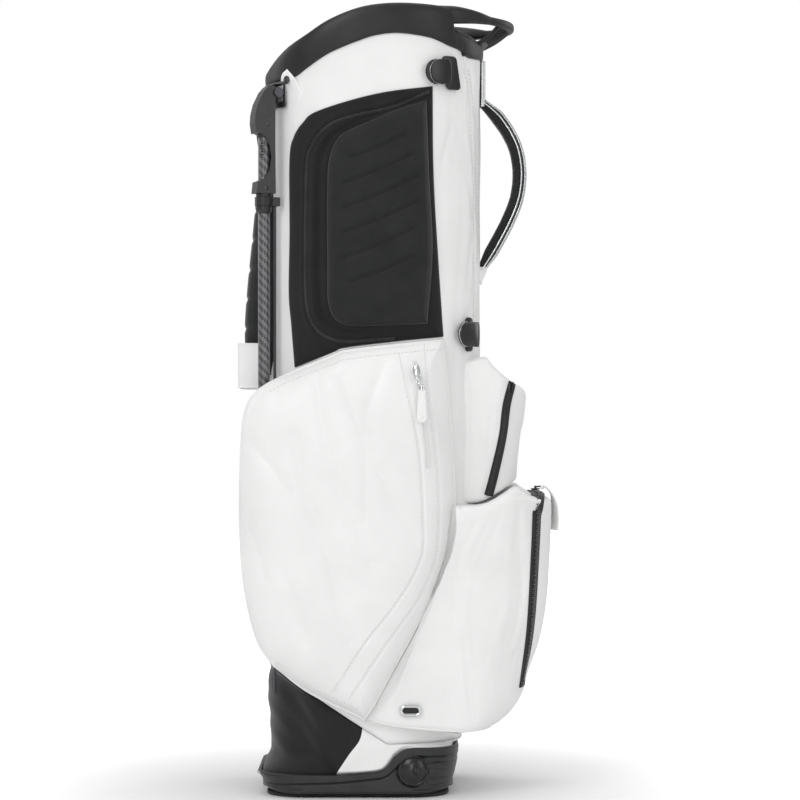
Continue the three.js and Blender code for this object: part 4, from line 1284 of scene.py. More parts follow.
PLAN_DEPTH = line_height([(-137.5, 110), (-133, 121), (-123, 130), (-104, 136.5), (-80, 140), (-30, 141.6),
                          (10, 142), (50, 139), (80, 131), (100, 118), (114, 104)])


class Outline:
    """A closed side-view outline with its share of the way from a centre to the edge."""

    def __init__(self, stretches, centre, count):
        self.points = closed_outline(stretches, count)
        self.centre = np.array(centre, float)
        away = self.points - self.centre
        self.angles = np.arctan2(away[:, 1], away[:, 0])
        self.radii = np.hypot(away[:, 0], away[:, 1])
        order = np.argsort(self.angles)
        self.angles, self.radii = self.angles[order], self.radii[order]

    def share(self, x, z):
        dx, dz = x - self.centre[0], z - self.centre[1]
        radius = np.interp(np.arctan2(dz, dx), self.angles, self.radii, period=2 * np.pi)
        return np.hypot(dx, dz) / radius


POCKET = Outline([POCKET_TOP_EDGE, POCKET_BACK_EDGE, POCKET_SEAM[::-1], POCKET_LOW_EDGE, POCKET_FRONT_EDGE],
                 POCKET_CENTRE, 420)


def pocket_base(x, z):
    """Depth of the side pocket's inner face."""
    on_tube = tube_y(np.maximum(x, -88), z, -2.5)
    return np.where(x < -88, np.maximum(on_tube, 98), np.maximum(on_tube, 60))


def pocket_depth(x, z, share=None):
    """Depth of the side pocket's puffed front."""
    share = POCKET.share(x, z) if share is None else share
    base = lerp(np.maximum(tube_y(np.maximum(x, -84), z), 60), 99.5, 1 - smoothstep(x, -104, -70))
    full = (1 - np.clip(share, 0, 1) ** 7) ** (1 / 2.3)
    depth = base + (PLAN_DEPTH(x) - 0.8 - base) * full
    swell = 1.2 * np.sin(x / 31 + z / 57) * (1 - share ** 4)
    for vein in VEINS:
        away = distance_to_line(x, z, vein)
        swell = swell - groove(away, 7.5, 1.9) - groove(away, 2.2, 0.5)
    for line in (FLAP_LINE, FLAP_HEM):
        swell = swell - groove(distance_to_line(x, z, line), 1.5, 1.1)
    swell = swell - groove(distance_to_line(x, z, np.array(POCKET_TOP_EDGE) - [0, 10]), 1.3, 0.9)
    return depth + swell * np.clip((1 - share) * 9, 0, 1)


def add_side_pockets():
    verts, faces = sewn_pad(POCKET, 112, 0.62, pocket_depth, lambda x, z, rho: pocket_base(x, z) - 1.0,
                            VEINS + [FLAP_LINE, FLAP_HEM], 0.93, 0.9, 3.0)
    for name, side in SIDES:
        pocket = make_object(name + "_apparel_pouch", verts * [1, side, 1], faces, [WHITE])
        stand_in(pocket, name + "_apparel_pocket", BODY)
        add_pocket_trim(name, side)


def on_pocket(line, side, lift, count):
    """Places a side-view line on the side pocket's front."""
    flat = resample(spline(line), count)
    y = pocket_depth(flat[:, 0], flat[:, 1]) + lift
    return np.column_stack([flat[:, 0], side * y, flat[:, 1]])


def add_pocket_trim(name, side):
    """Piping round the pouch, and stitches beside the flap, the hem, the top and the lower edge."""
    edge = POCKET.centre + (POCKET.points - POCKET.centre) * 0.985
    depth = pocket_depth(edge[:, 0], edge[:, 1]) - 1.2
    path = np.column_stack([edge[:, 0], side * depth, edge[:, 1]])
    welt = Parts().add(*sweep(path, round_section(2.1), (0, side, 0), closed=True))
    made = welt.build(name + "_apparel_piping", [WHITE_TRIM])
    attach(made, BODY)
    body = Parts()
    up = (0, side, 0)
    inner_top = [(x, z - 12.4) for x, z in POCKET_TOP_EDGE[1:]]
    rows = [[(x - 3.0, z) for x, z in FLAP_LINE], [(x - 3.0, z) for x, z in FLAP_HEM], inner_top]
    low = [(x + 1, z + 11) for x, z in POCKET_LOW_EDGE[1:]]
    rows.append(low)
    for line in rows:
        path = on_pocket(line, side, 0.1, 150)
        body.add(*stitches(path, up, 3.0, 1.6, 0.36, 0.1))
    thread = body.build(name + "_apparel_stitching", [WHITE_THREAD])
    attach(thread, BODY)


PANEL_TOP = [(84, 806), (19, 796), (-46, 778), (-63, 766), (-74, 750), (-79, 725), (-79, 640), (-80, 573),
             (-77, 536), (-73, 487.6)]
PANEL_LOW = [(-73, 487.6), (-29, 504.6), (-15, 510), (38, 516.6), (96.5, 522.6)]
PANEL_BACK = [(96.5, 522.6), (90, 618), (85, 709), (84, 806)]
PANEL = Outline([PANEL_TOP, PANEL_LOW, PANEL_BACK], (10, 655), 560)
PAD_EDGE = [(77, 790), (40, 777), (-7, 757), (-24, 745), (-33, 722), (-35, 690), (-35, 600), (-34, 560),
            (-24, 540), (0, 534), (78, 537)]
PAD_BACK = [(78, 537), (84, 620), (80, 709), (77, 790)]
PAD = Outline([PAD_EDGE, PAD_BACK], (24, 655), 360)
STITCH_LINE = [(80, 800), (41, 782), (-13.5, 769), (-37, 758), (-52, 739), (-58, 715), (-60, 618),
               (-59, 564), (-52, 538), (-37, 523), (-13.5, 517), (41, 520), (86, 524)]
STITCH_LOOP = Outline([STITCH_LINE, [(86, 524), (90, 655), (80, 800)]], (24, 655), 200)
CHANNEL_LINE = [(80, 794), (40, 780), (-10, 761), (-30, 749), (-40, 728), (-44, 700), (-44, 600),
                (-42, 556), (-32, 536), (-8, 527), (40, 527), (84, 530)]


def panel_depth(x, z, share=None):
    """Depth of the cloth side panel: flat edge, stitched line, soft ridge and channel."""
    share = PANEL.share(x, z) if share is None else share
    depth = tube_y(x, z, 0.4) + 3.0 * (1 - np.clip(share, 0, 1) ** 40) ** 0.5
    stitched = distance_to_line(x, z, STITCH_LINE)
    channel = distance_to_line(x, z, CHANNEL_LINE)
    inside = smoothstep(-edge_side(x, z), -6, 0)
    depth = depth + 2.0 * inside * np.exp(-((stitched - 7) / 4.0) ** 2)
    depth = depth - groove(stitched, 1.5, 1.1) - groove(channel, 4.0, 2.2)
    depth = depth + 0.35 * np.sin(x / 23 + z / 41) + 0.25 * np.sin(z / 17 - x / 39)
    return depth


def edge_side(x, z):
    """Negative inside the stitched line of the panel, positive outside."""
    return (STITCH_LOOP.share(x, z) - 1) * 60


def pad_depth(x, z, share=None):
    """Depth of the moulded pad: a rounded block with slanted vent channels."""
    share = PAD.share(x, z) if share is None else share
    base = tube_y(x, z, 2.0)
    depth = base + 9.2 * (1 - np.clip(share, 0, 1) ** 16) ** (1 / 2.2)
    for vent in VENTS:
        depth = depth - groove(distance_to_line(x, z, vent_line(*vent)), 2.6, 2.2)
    depth = depth - groove(np.abs(share - 0.955) * 45, 1.4, 0.6)
    return depth


VENTS = [(-8, 584, 68), (-14, 612, 78), (-16, 640, 82), (-16, 668, 82), (-14, 696, 74), (-8, 724, 60)]


def add_side_panels():
    pad_verts, pad_faces = sewn_pad(PAD, 112, 0.55, pad_depth, lambda x, z, rho: tube_y(x, z, 1.0),
                                    [vent_line(*vent) for vent in VENTS], 0.9, 0.8, 1.6)
    for name, side in SIDES:
        verts, faces = pad_grid(PANEL.points, PANEL.centre, 140, panel_depth,
                                lambda x, z, rho: tube_y(x, z, 0.2), 0.6)
        verts[:, 1] *= side
        panel = make_object(name + "_panel_cloth", verts, faces, [NEOPRENE])
        stand_in(panel, name + "_upper_panel", BODY)
        pad = make_object(name + "_pad_foam", pad_verts * [1, side, 1], pad_faces, [PAD_CLOTH])
        stand_in(pad, name + "_moulded_pad", BODY)
        add_panel_stitching(name, side)


def vent_line(x, z, length):
    """Middle line of one slanted vent channel."""
    return [(x, z), (x + length * 0.5, z + length * 0.18), (x + length, z + length * 0.42)]


def on_panel(line, side, lift, count):
    flat = resample(spline(line), count)
    y = panel_depth(flat[:, 0], flat[:, 1]) + lift
    return np.column_stack([flat[:, 0], side * y, flat[:, 1]])


def add_panel_stitching(name, side):
    """A corded overlock seam along the stitched line: a cord with close slanted threads."""
    path = on_panel(STITCH_LINE[:-1], side, 0.9, 260)
    up = (0, side, 0)
    body = Parts()
    body.add(*sweep(path, round_section(1.5), up))
    for k in range(2, len(path) - 2, 2):
        way = path[k + 1] - path[k - 1]
        way /= np.linalg.norm(way)
        across = np.cross(way, up)
        bow = [path[k] + across * s * 2.4 + way * s * 1.5 + np.array([0, side * h, 0])
               for s, h in ((-1, 0.1), (-0.5, 1.3), (0, 1.75), (0.5, 1.3), (1, 0.1))]
        body.add(*sweep(bow, round_section(0.42, sides=6), up))
    cord = body.build(name + "_panel_stitching", [BLACK_THREAD])
    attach(cord, BODY)


# ---- Pockets that wrap the spine -------------------------------------------------------------


class Wrap:
    """A pocket bowed round the spine; plan and side lines give its shape."""

    power = 2.6

    def __init__(self, half, knee, front, top, low, left, bulge=1.0):
        self.half = half
        self.knee = knee
        heights = np.array(front, float)
        curve = spline(heights[np.argsort(heights[:, 0])], 10)
        self.front = lambda z: np.interp(z, curve[:, 0], curve[:, 1])
        self.top = line_height(top)
        self.low = line_height(low)
        self.left = left
        self.bulge = bulge

    def plan(self, turn, z):
        """Plan point where turn runs from -1 on the right to 1 on the left side of the knee."""
        angle = turn * np.pi / 2
        x = self.knee + (self.front(z) - self.knee) * np.cos(angle) ** (2 / self.power)
        y = self.half * signed_power(np.sin(angle), 2 / self.power)
        return x, y + 0 * x

    def depth(self, x, z):
        """Distance from the middle plane of the skin at a side-view place."""
        reach = np.clip((x - self.knee) / (self.front(z) - self.knee), 0, 1)
        return self.half * (1 - reach ** self.power) ** (1 / self.power)

    def on_skin(self, line, side, lift, count):
        """Places a side-view line on the skin and returns its points and outward directions."""
        flat = resample(spline(line), count)
        x, z = flat[:, 0], flat[:, 1]
        step = 0.5
        here = np.column_stack([x, self.depth(x, z), z])
        dx = np.column_stack([x + step, self.depth(x + step, z), z]) - here
        dz = np.column_stack([x, self.depth(x, z + step), z + step]) - here
        normal = np.cross(dx, dz)
        normal /= np.linalg.norm(normal, axis=1, keepdims=True)
        normal *= np.where(normal[:, 1:2] < 0, -1, 1)
        points = here + normal * lift
        return points * [1, side, 1], normal * [1, side, 1]

    def mesh(self, columns=200, rows=70, round_radius=9.0, dent=None):
        """The pocket as a closed body: skin, rounded edges, ends and a back on the tube."""
        side_columns = columns // 6
        turns = np.concatenate([np.full(side_columns, -1.0),
                                np.sin(np.linspace(-1, 1, columns - 2 * side_columns) * np.pi / 2),
                                np.full(side_columns, 1.0)])
        reach = np.concatenate([np.linspace(1, 0, side_columns, endpoint=False),
                                np.zeros(columns - 2 * side_columns),
                                np.linspace(0, 1, side_columns + 1)[1:]])
        loops = []
        for turn, back in zip(turns, reach):
            loops.append(self.column(turn, back, rows, round_radius, dent))
        grid = np.stack(loops)
        length = grid.shape[1]
        faces = grid_faces(len(turns), length, False, True)
        faces.append(list(range(length)))
        faces.append(list(range((len(turns) - 1) * length, len(turns) * length))[::-1])
        return grid.reshape(-1, 3), faces

    def column(self, turn, back, rows, radius, dent):
        def place(z):
            x, y = self.plan(turn, z)
            edge = self.left(z)
            return x + (edge - x) * back, y

        guess = 0.5 * (self.top(self.knee) + self.low(self.knee))
        top = low = guess
        for _ in range(4):
            top = float(self.top(place(top)[0]))
            low = float(self.low(place(low)[0]))
        share = (1 - np.cos(np.linspace(0, np.pi, rows))) / 2
        share = 0.5 * share + 0.5 * np.linspace(0, 1, rows)
        z = lerp(low, top, share)
        x, y = place(z)
        step = 1e-3
        ahead_x, ahead_y = self.plan(min(turn + step, 1), z)
        behind_x, behind_y = self.plan(max(turn - step, -1), z)
        along = np.column_stack([ahead_x - behind_x, ahead_y - behind_y])
        normal = np.column_stack([along[:, 1], -along[:, 0]])
        if back > 0 or abs(turn) == 1:
            normal = np.column_stack([np.zeros(rows), np.full(rows, np.sign(turn))])
        normal /= np.maximum(np.linalg.norm(normal, axis=1, keepdims=True), 1e-9)
        near = np.minimum(z - low, top - z)
        near_side = (1 - back) * (self.knee - float(self.left(guess))) if back > 0 else 1e3
        near = np.minimum(near, near_side + 1.5)
        inset = radius - np.sqrt(np.maximum(radius ** 2 - np.maximum(radius - near, 0) ** 2, 0))
        swell = self.bulge * np.sin(np.pi * np.clip((z - low) / (top - low), 0, 1)) ** 0.6
        out = swell - inset
        if dent is not None:
            out = out - dent(x, np.full(rows, 0.0) + y, z)
        outer = np.column_stack([x + normal[:, 0] * out, y + normal[:, 1] * out, z])
        inner_top = float(self.top(tube_point(np.array([turn * 0.9]), top, 0.0)[0, 0]))
        inner_z = lerp(low, inner_top if back == 0 else top, share)[::-1]
        inner_x, inner_y = place(inner_z)
        middle, half_x, half_y = tube_section(inner_z)
        u = (inner_x - middle) / half_x
        v = inner_y / half_y
        angle = np.arctan2(signed_power(v, OVAL_POWER / 2), signed_power(u, OVAL_POWER / 2))
        inner = tube_point(angle, inner_z, -1.0)
        lid = [lerp(outer[-1], inner[0], s) for s in (0.12, 0.25, 0.4, 0.55, 0.7, 0.85)]
        if back == 0:
            for point in lid:
                point[2] = float(self.top(point[0])) - 0.6
        floor = [lerp(inner[-1], outer[0], s) for s in (0.3, 0.6, 0.85)]
        return np.vstack([outer, lid, inner, floor])


BALL_FRONT = [(74, 130), (75, 148), (80, 161), (92, 176), (112, 189), (138, 196), (172, 208), (214, 216),
              (260, 219.5), (331, 223), (338, 219), (342, 212)]
BALL = Wrap(half=110, knee=110, front=BALL_FRONT,
            top=[(0, 331), (113, 331.5), (143, 333.5), (165, 344), (182, 353), (188, 350), (200, 343),
                 (214, 339.5)],
            low=[(0, 88.5), (14, 87), (44, 81), (114, 75), (135, 73.8), (148, 75)],
            left=line_height([(74, 12), (88, 8), (108, 20.2), (139, 36.7), (198, 69.2), (247, 92.7),
                              (288, 108.2), (331, 112.5)]), bulge=1.2)
VALUABLES = Wrap(half=64, knee=140,
                 front=[(334, 178), (356, 182), (381, 183.2), (412.5, 186.6), (427, 190), (456, 193.6),
                        (468, 192), (480, 186)],
                 top=[(108, 493), (143, 500.5), (152, 492.5), (164, 481.5), (174, 474.5), (189, 467),
                      (194, 460)],
                 low=[(108, 333), (143, 335.5), (182, 356), (194, 362)],
                 left=lambda z: 112.0 + 0 * z, bulge=1.0)


def wrap_pins(v, wrap, lines):
    """Pins all but the puffed faces of a wrapped pocket."""
    x, y, z = v[:, 0], np.abs(v[:, 1]), v[:, 2]
    near_edge = np.minimum(z - wrap.low(x), wrap.top(x) - z) < 13
    skin = wrap.depth(x, z)
    reach = wrap.front(z)
    outer = (np.abs(y - skin) < 4) | (x > reach - 4)
    hold = near_edge | ~outer
    for line in lines:
        hold |= distance_to_line(x, z, line) < 7.5
    return hold


BALL_ZIP = [(206, 350), (202.3, 326.5), (199.8, 273), (194.6, 191.5), (185, 123.5)]
VALUABLES_ZIP = [(174.8, 470.5), (168.5, 445), (164, 410), (155, 369), (148, 341.5)]


def add_wrapped_pockets():
    def ball_dent(x, y, z):
        welt = groove(np.abs(z - BALL.low(x) - 10), 1.3, 0.8)
        wrinkle = 0.7 * np.exp(-((x - 118) / 9) ** 2) * np.sin(z / 33) * smoothstep(z, 100, 150)
        facing = groove(distance_to_line(x, z, [(p[0] - 9.5, p[1]) for p in BALL_ZIP]), 1.2, 0.7)
        return welt + wrinkle + facing

    verts, faces = BALL.mesh(dent=ball_dent)
    verts = verts + swelling(verts, faces, wrap_pins(verts, BALL, [BALL_ZIP]), 0.7, 3.0)
    ball = make_object("ball_pouch", verts, faces, [WHITE], None, 70)
    stand_in(ball, "ball_pocket", BODY)

    def small_dent(x, y, z):
        across = groove(np.abs(z - VALUABLES.top(x) + 8), 1.1, 0.5) * (x < 146)
        facing = groove(distance_to_line(x, z, [(p[0] - 7, p[1]) for p in VALUABLES_ZIP]), 1.2, 0.6)
        return across + facing

    verts, faces = VALUABLES.mesh(160, 56, 6.5, small_dent)
    verts = verts + swelling(verts, faces, wrap_pins(verts, VALUABLES, [VALUABLES_ZIP]), 0.6, 2.0)
    small = make_object("valuables_pouch", verts, faces, [WHITE], None, 70)
    stand_in(small, "valuables_pocket", BODY)
    add_wrapped_seams()


def add_wrapped_seams():
    """Piping along the welts of the ball pocket."""
    body = Parts()
    for _, side in SIDES:
        seam = [(x + 3.0, z) for x, z in POCKET_SEAM[1:]]
        points, normal = BALL.on_skin(seam, side, -3.2, 120)
        body.add(*sweep(points, round_section(2.0), normal))
        low = [(14, 89.5), (44, 83.5), (80, 79.8), (114, 77.6), (135, 76.4)]
        points, normal = BALL.on_skin(low, side, -3.4, 120)
        body.add(*sweep(points, round_section(1.8), normal))
    front = []
    for turn in np.linspace(-0.93, 0.93, 120):
        z = 78.0
        x, y = BALL.plan(turn, z)
        front.append([x - 3, y * 0.97, z])
    body.add(*sweep(np.array(front), round_section(1.8), (0, 0, 1)))
    piping = body.build("ball_piping", [WHITE_TRIM])
    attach(piping, BODY)


# ---- Zips ------------------------------------------------------------------------------------


def ribbon(path, normal, width, thickness):
    return sweep(path, slab_section(width, thickness, min(width, thickness) * 0.3, 3), normal)


def chain_teeth(path, normal, pitch, width, tooth):
    """Two rows of meshing teeth along a zip's middle."""
    section = slab_section(tooth * pitch, 1.5, 0.35, 3)
    body = Parts()
    for k, (place, along, up) in enumerate(spaced(path, normal, pitch)):
        hand = 1 if k % 2 else -1
        stops = np.array([-0.32, -0.2, 0.28, 0.5]) * width * hand
        line = place + np.cross(along, up) * stops[:, None] + up * 0.25
        body.add(*sweep(line, section, up, scale=[0.75, 1, 1, 0.8]))
    return np.vstack(body.verts), body.faces


def coil(path, normal, pitch, width, radius=0.42):
    """The two nylon spirals of a coil zip, as close crosswise loops."""
    section = round_section(radius, sides=6)
    body = Parts()
    for place, along, up in spaced(path, normal, pitch):
        across = np.cross(along, up)
        line = [place + across * s * width * 0.5 + along * 0.4 * s + up * (h * 0.8)
                for s, h in ((-1, 0.0), (-0.75, 0.9), (0, 1.15), (0.75, 0.9), (1, 0.0))]
        body.add(*sweep(line, section, up))
    return np.vstack(body.verts), body.faces


def ball_zip_path(lift):
    """The ball zip's middle line: up the right side, over the top and down the left side."""
    right, normal_right = BALL.on_skin(BALL_ZIP[1:][::-1], RIGHT, lift, 150)
    left, normal_left = BALL.on_skin(BALL_ZIP[1:], LEFT, lift, 150)
    height = BALL.top(206.0) + 1.5 + lift
    over = []
    over_up = []
    reach = abs(right[-1, 1])
    for turn in np.linspace(-1, 1, 60)[1:-1]:
        y = reach * turn
        rise = (1 - abs(turn) ** 5) ** 0.5
        x = lerp(BALL_ZIP[1][0], 206.0, rise ** 2)
        over.append([x, y, lerp(right[-1, 2], height, rise)])
        tilt = abs(turn) ** 6
        over_up.append([0.1, np.sign(turn) * tilt, 1.02 - tilt])
    path = np.vstack([right, over, left])
    ups = np.vstack([normal_right, over_up, normal_left])
    for _ in range(14):
        path[1:-1] = (path[:-2] + path[1:-1] * 2 + path[2:]) / 4
        ups[1:-1] = (ups[:-2] + ups[1:-1] * 2 + ups[2:]) / 4
    along = tangents(path)
    outward = np.column_stack([0 * along[:, 0], -along[:, 2], along[:, 1]])
    outward /= np.linalg.norm(outward, axis=1, keepdims=True)
    forward = np.clip(ups[:, :1], 0, 0.95)
    return path, outward * np.sqrt(1 - forward ** 2) + forward * np.array([1.0, 0, 0])


def add_zips():
    path, ups = ball_zip_path(0.3)
    body = Parts()
    body.add(*ribbon(path, ups, 15.5, 1.4), 0)
    body.add(*chain_teeth(path + ups * 1.3, ups, 2.5, 7.6, 0.56), 1)
    for end, inward in ((0, 4), (len(path) - 1, -4)):
        body.add(*ribbon(path[[end, end + inward]], ups[end], 15.5, 2.4), 0)
    zip_chain = body.build("ball_zip_chain", [ZIP_TAPE, TEETH], 45)
    stand_in(zip_chain, "ball_zip", BODY)
    for name, side in SIDES:
        path, normal = VALUABLES.on_skin(VALUABLES_ZIP, side, 1.0, 120)
        body = Parts()
        body.add(*ribbon(path, normal, 10.5, 1.2), 0)
        body.add(*coil(path + normal * 1.0, normal, 1.25, 4.4), 1)
        chain = body.build(name + "_valuables_chain", [ZIP_TAPE, TEETH], 50)
        stand_in(chain, name + "_valuables_zip", BODY)
        add_valuables_slider(name, side)
        add_apparel_zip(name, side)
    add_ball_pull()


def slider_body(length, width, height):
    """A zip slider: two rounded plates joined by a neck, with a bridge for its pull."""
    body = Parts()
    for z, size in ((0.0, 0.92), (height * 0.62, 1.0)):
        half = length / 2
        outline = [(half * size, width * 0.24), (half * 0.5 * size, width * 0.5 * size),
                   (-half * 0.2, width * 0.5 * size), (-half * size, width * 0.34)]
        flat = spline([(half * size * 1.02, 0)] + outline + [(-half * size * 1.02, 0)], 5)
        loop = np.vstack([flat, flat[::-1][1:-1] * [1, -1]])
        count = len(loop)
        rows = []
        for shrink, level in ((0.9, 0.0), (1.0, 0.35), (1.0, height * 0.3), (0.9, height * 0.38)):
            rows.append(np.column_stack([loop * shrink, np.full(count, z + level)]))
        body.add(np.stack(rows), capped_faces(4, count))
    neck = [(length * 0.24, 0, 0.3), (length * 0.24, 0, height * 0.8)]
    body.add(*sweep(neck, round_section(width * 0.13), (1, 0, 0)))
    bridge = [(length * 0.34, 0, height * 0.9), (length * 0.3, 0, height + 1.5), (0, 0, height + 2.1),
              (-length * 0.24, 0, height + 1.5), (-length * 0.3, 0, height * 0.9)]
    body.add(*sweep(spline(bridge, 5), slab_section(width * 0.26, 0.9), (0, 0, 1)))
    return np.vstack(body.verts), body.faces


def add_valuables_slider(name, side):
    path, normal = VALUABLES.on_skin([(174, 471), (171.5, 458)], side, 0.8, 9)
    verts, faces = slider_body(13, 8.4, 3.2)
    verts = placed(verts, path[4], normal[4], path[0] - path[-1])
    slider = make_object(name + "_valuables_zip_slider", verts, faces, [GLOSS], None, 40)
    stand_in(slider, name + "_valuables_slider", name + "_front_slider")


def add_apparel_zip(name, side):
    """White reversed coil behind a narrow facing, with a chrome slider and a leather pull."""
    line = [(63.5, 494), (69, 452), (75.5, 402), (77, 376)]
    path = on_pocket(line, side, 0.2, 120)
    up = np.tile([0.0, side, 0.0], (len(path), 1))
    body = Parts()
    body.add(*ribbon(path, up, 5.4, 1.2), 0)
    for shift in (-2.6, 2.6):
        lip = path + np.array([shift, 0, 0])
        body.add(*sweep(lip, round_section(0.8, 0.9), up), 1)
    body.add(*coil(path + up * 0.6, up, 1.3, 2.6, 0.36), 0)
    chain = body.build(name + "_apparel_chain", [WHITE_TAPE, WHITE_TRIM], 50)
    stand_in(chain, name + "_apparel_zip", BODY)
    low, high = box_mm(name + "_apparel_slider")
    middle = (low + high) / 2
    base = low[1] if side > 0 else high[1]
    verts, faces = slider_body(17, 8.6, 2.4)
    origin = (middle[0] - 0.6, base + side * 0.2, middle[2] + 1.5)
    slider = Parts().add(placed(verts, origin, (0, side, 0), (-0.13, 0, 1)), faces)
    ring = []
    for a in np.linspace(0, 2 * np.pi, 25)[:-1]:
        ring.append([origin[0] + 1.2 + 3.0 * math.cos(a), origin[1] + side * (3.0 + 0.3 * math.sin(a)),
                     middle[2] - 5.5 + 5.2 * math.sin(a)])
    slider.add(*sweep(ring, round_section(0.85, sides=10), (0, side, 0), closed=True))
    made = slider.build(name + "_apparel_zip_slider", [CHROME], 45)
    stand_in(made, name + "_apparel_slider", name + "_side_slider")
    add_leather_pull(name, side)


def add_leather_pull(name, side):
    """A tapered two-ply leather tab with a chrome clamp, an edge stitch and a round rivet."""
    low, high = box_mm(name + "_apparel_pull")
    centre_x = (low[0] + high[0]) / 2
    base = low[1] if side > 0 else high[1]
    top, bottom = high[2], low[2]
    outline = [[(-4.0, top - 3), (-4.6, top - 16), (-5.8, bottom + 9), (-5.4, bottom + 3), (-2.6, bottom),
                (2.6, bottom), (5.4, bottom + 3), (5.8, bottom + 9), (4.6, top - 16), (4.0, top - 3)],
               [(4.0, top - 3), (-4.0, top - 3)]]
    loop = closed_outline(outline, 120)
    loop[:, 0] += centre_x

    def front(x, z, rho):
        sewn = groove(np.abs(rho - 0.8) * 4, 0.5, 0.35)
        return 1.75 * (1 - np.clip(rho, 0, 1) ** 10) ** 0.5 + 0.5 - sewn

    verts, faces = pad_grid(loop, (centre_x, (top + bottom) / 2), 22, front, lambda x, z, rho: 0 * x, 0.6)
    verts[:, 1] = base + side * verts[:, 1]
    body = Parts().add(verts, faces, 0)
    clamp = [(centre_x, base + side * 1.2, top - 1.0), (centre_x, base + side * 1.2, top - 5.2)]
    body.add(*sweep(clamp, round_section(3.7, 1.7, 20), (0, side, 0)), 1)
    loop_line = [(centre_x + 2.0 * math.cos(a), base + side * 1.2, top - 0.6 + 1.9 * math.sin(a))
                 for a in np.linspace(0, np.pi, 9)]
    body.add(*sweep(loop_line, round_section(0.6, sides=10), (0, side, 0)), 1)
    stud = revolve([(0, 0.8), (1.5, 0.7), (2.2, 0.2), (2.2, -0.6), (0, -0.6)], 28)
    body.add(placed(stud[0], (centre_x, base + side * 2.1, bottom + 6.5), (0, side, 0)), stud[1], 0)
    pull = body.build(name + "_leather_pull", [WHITE, CHROME], 45)
    stand_in(pull, name + "_apparel_pull", name + "_side_pull")


def add_ball_pull():
    """The big zip's slider and its folded white pull strap."""
    low, high = box_mm("ball_zip_slider")
    middle = (low + high) / 2
    verts, faces = slider_body(12, 10, 3.4)
    slider = Parts().add(placed(verts, (middle[0], 0, low[2]), (0, 0, 1), (0, 1, 0)), faces)
    ring = [(middle[0] + 3.4 + 2.6 * math.cos(a), 4.2 * math.sin(a), high[2] + 0.2 * math.cos(a))
            for a in np.linspace(0, 2 * np.pi, 25)[:-1]]
    slider.add(*sweep(ring, round_section(0.8, sides=10), (0, 0, 1), closed=True))
    made = slider.build("ball_zip_slider_body", [GLOSS], 45)
    stand_in(made, "ball_zip_slider", "ball_slider")
    outer = spline([(211.8, 0, 348.6), (215, 0, 349.2), (219, 0, 346.6), (222.6, 0, 342), (225.2, 0, 335),
                    (227, 0, 322), (227.4, 0, 310), (226.6, 0, 299)], 8)
    section = slab_section(16, 1.5, 0.6, 4)
    up = np.cross(tangents(outer), (0, 1, 0))
    up *= np.where(up[:, :1] < 0, -1, 1)
    twist = np.radians(26) * smoothstep(-outer[:, 2], -345, -325)[:, None]
    across = np.array([0, 1.0, 0])
    up = up * np.cos(twist) + across * np.sin(twist)
    across = np.cross(up, tangents(outer))
    strap = Parts().add(*sweep(outer, section, up))
    for shift in (-6.2, 6.2):
        line = outer[6:-2] + up[6:-2] * 1.5 + across[6:-2] * shift
        strap.add(*stitches(line, up[6:-2], 2.4, 1.3, 0.35, 0.05), 1)
    end = outer[-3:] + up[-3:] * 0.2
    strap.add(*sweep(end, slab_section(16.4, 2.2, 0.9, 4), up[-3:]))
    made = strap.build("ball_pull_strap", [WHITE, WHITE_THREAD], 50)
    stand_in(made, "ball_zip_pull", "ball_pull")


def add_eyelet():
    """Oval chrome eyelet; a dark disc in its opening is painted shade of the hole."""
    low, high = box_mm("right_eyelet")
    centre = (low + high) / 2
    half_x, half_z = (high[0] - low[0]) / 2, (high[2] - low[2]) / 2
    angle = np.arange(72) / 72 * 2 * np.pi
    straight = half_x - half_z

    def capsule(radius):
        x = radius * np.cos(angle) + straight * np.clip(np.cos(angle) * 6, -1, 1)
        return np.column_stack([x, radius * np.sin(angle)])

    profile = [(half_z, -1.2), (half_z, 0.3), (half_z - 0.6, 1.2), (half_z - 1.9, 1.6), (half_z - 3.2, 1.1),
               (half_z - 3.7, 0.2), (half_z - 3.7, -1.4)]

    def facing_out(rows):
        rings = np.vstack([np.column_stack([capsule(r), np.full(72, h)]) for r, h in rows])
        return placed(rings, (centre[0], low[1] - 0.4, centre[2]), (0, -1, 0), (1, 0, 0))

    body = Parts()
    body.add(facing_out(profile), grid_faces(len(profile), 72, True, True), 0)
    # dark disc across the opening: painted shade of the hole
    body.add(facing_out([(half_z - 3.6, -1.3), (half_z - 3.6, 0.0)]), capped_faces(2, 72), 1)
    eyelet = body.build("chrome_eyelet", [CHROME, SOLE_RUBBER], 50)
    stand_in(eyelet, "right_eyelet", BODY)


# ---- Handle, clips, hip pad and strap --------------------------------------------------------

HANDLE_LINE = [(142.5, 798.5), (147.5, 794), (154.5, 787.5), (162, 779.5), (174, 762), (183, 741),
               (186.5, 714), (183, 686), (173, 660), (160, 635), (152, 621), (146.5, 611.5), (142, 604)]


def handle_layer(inner, outer, width, count=32):
    """Section between two distances from the grip's middle line, with rounded sides."""
    angle = np.arange(count) / count * 2 * np.pi
    middle, half = (inner + outer) / 2, (outer - inner) / 2
    across = width * signed_power(np.cos(angle), 0.55)
    rise = middle + half * signed_power(np.sin(angle), 0.75)
    return np.column_stack([across, rise])


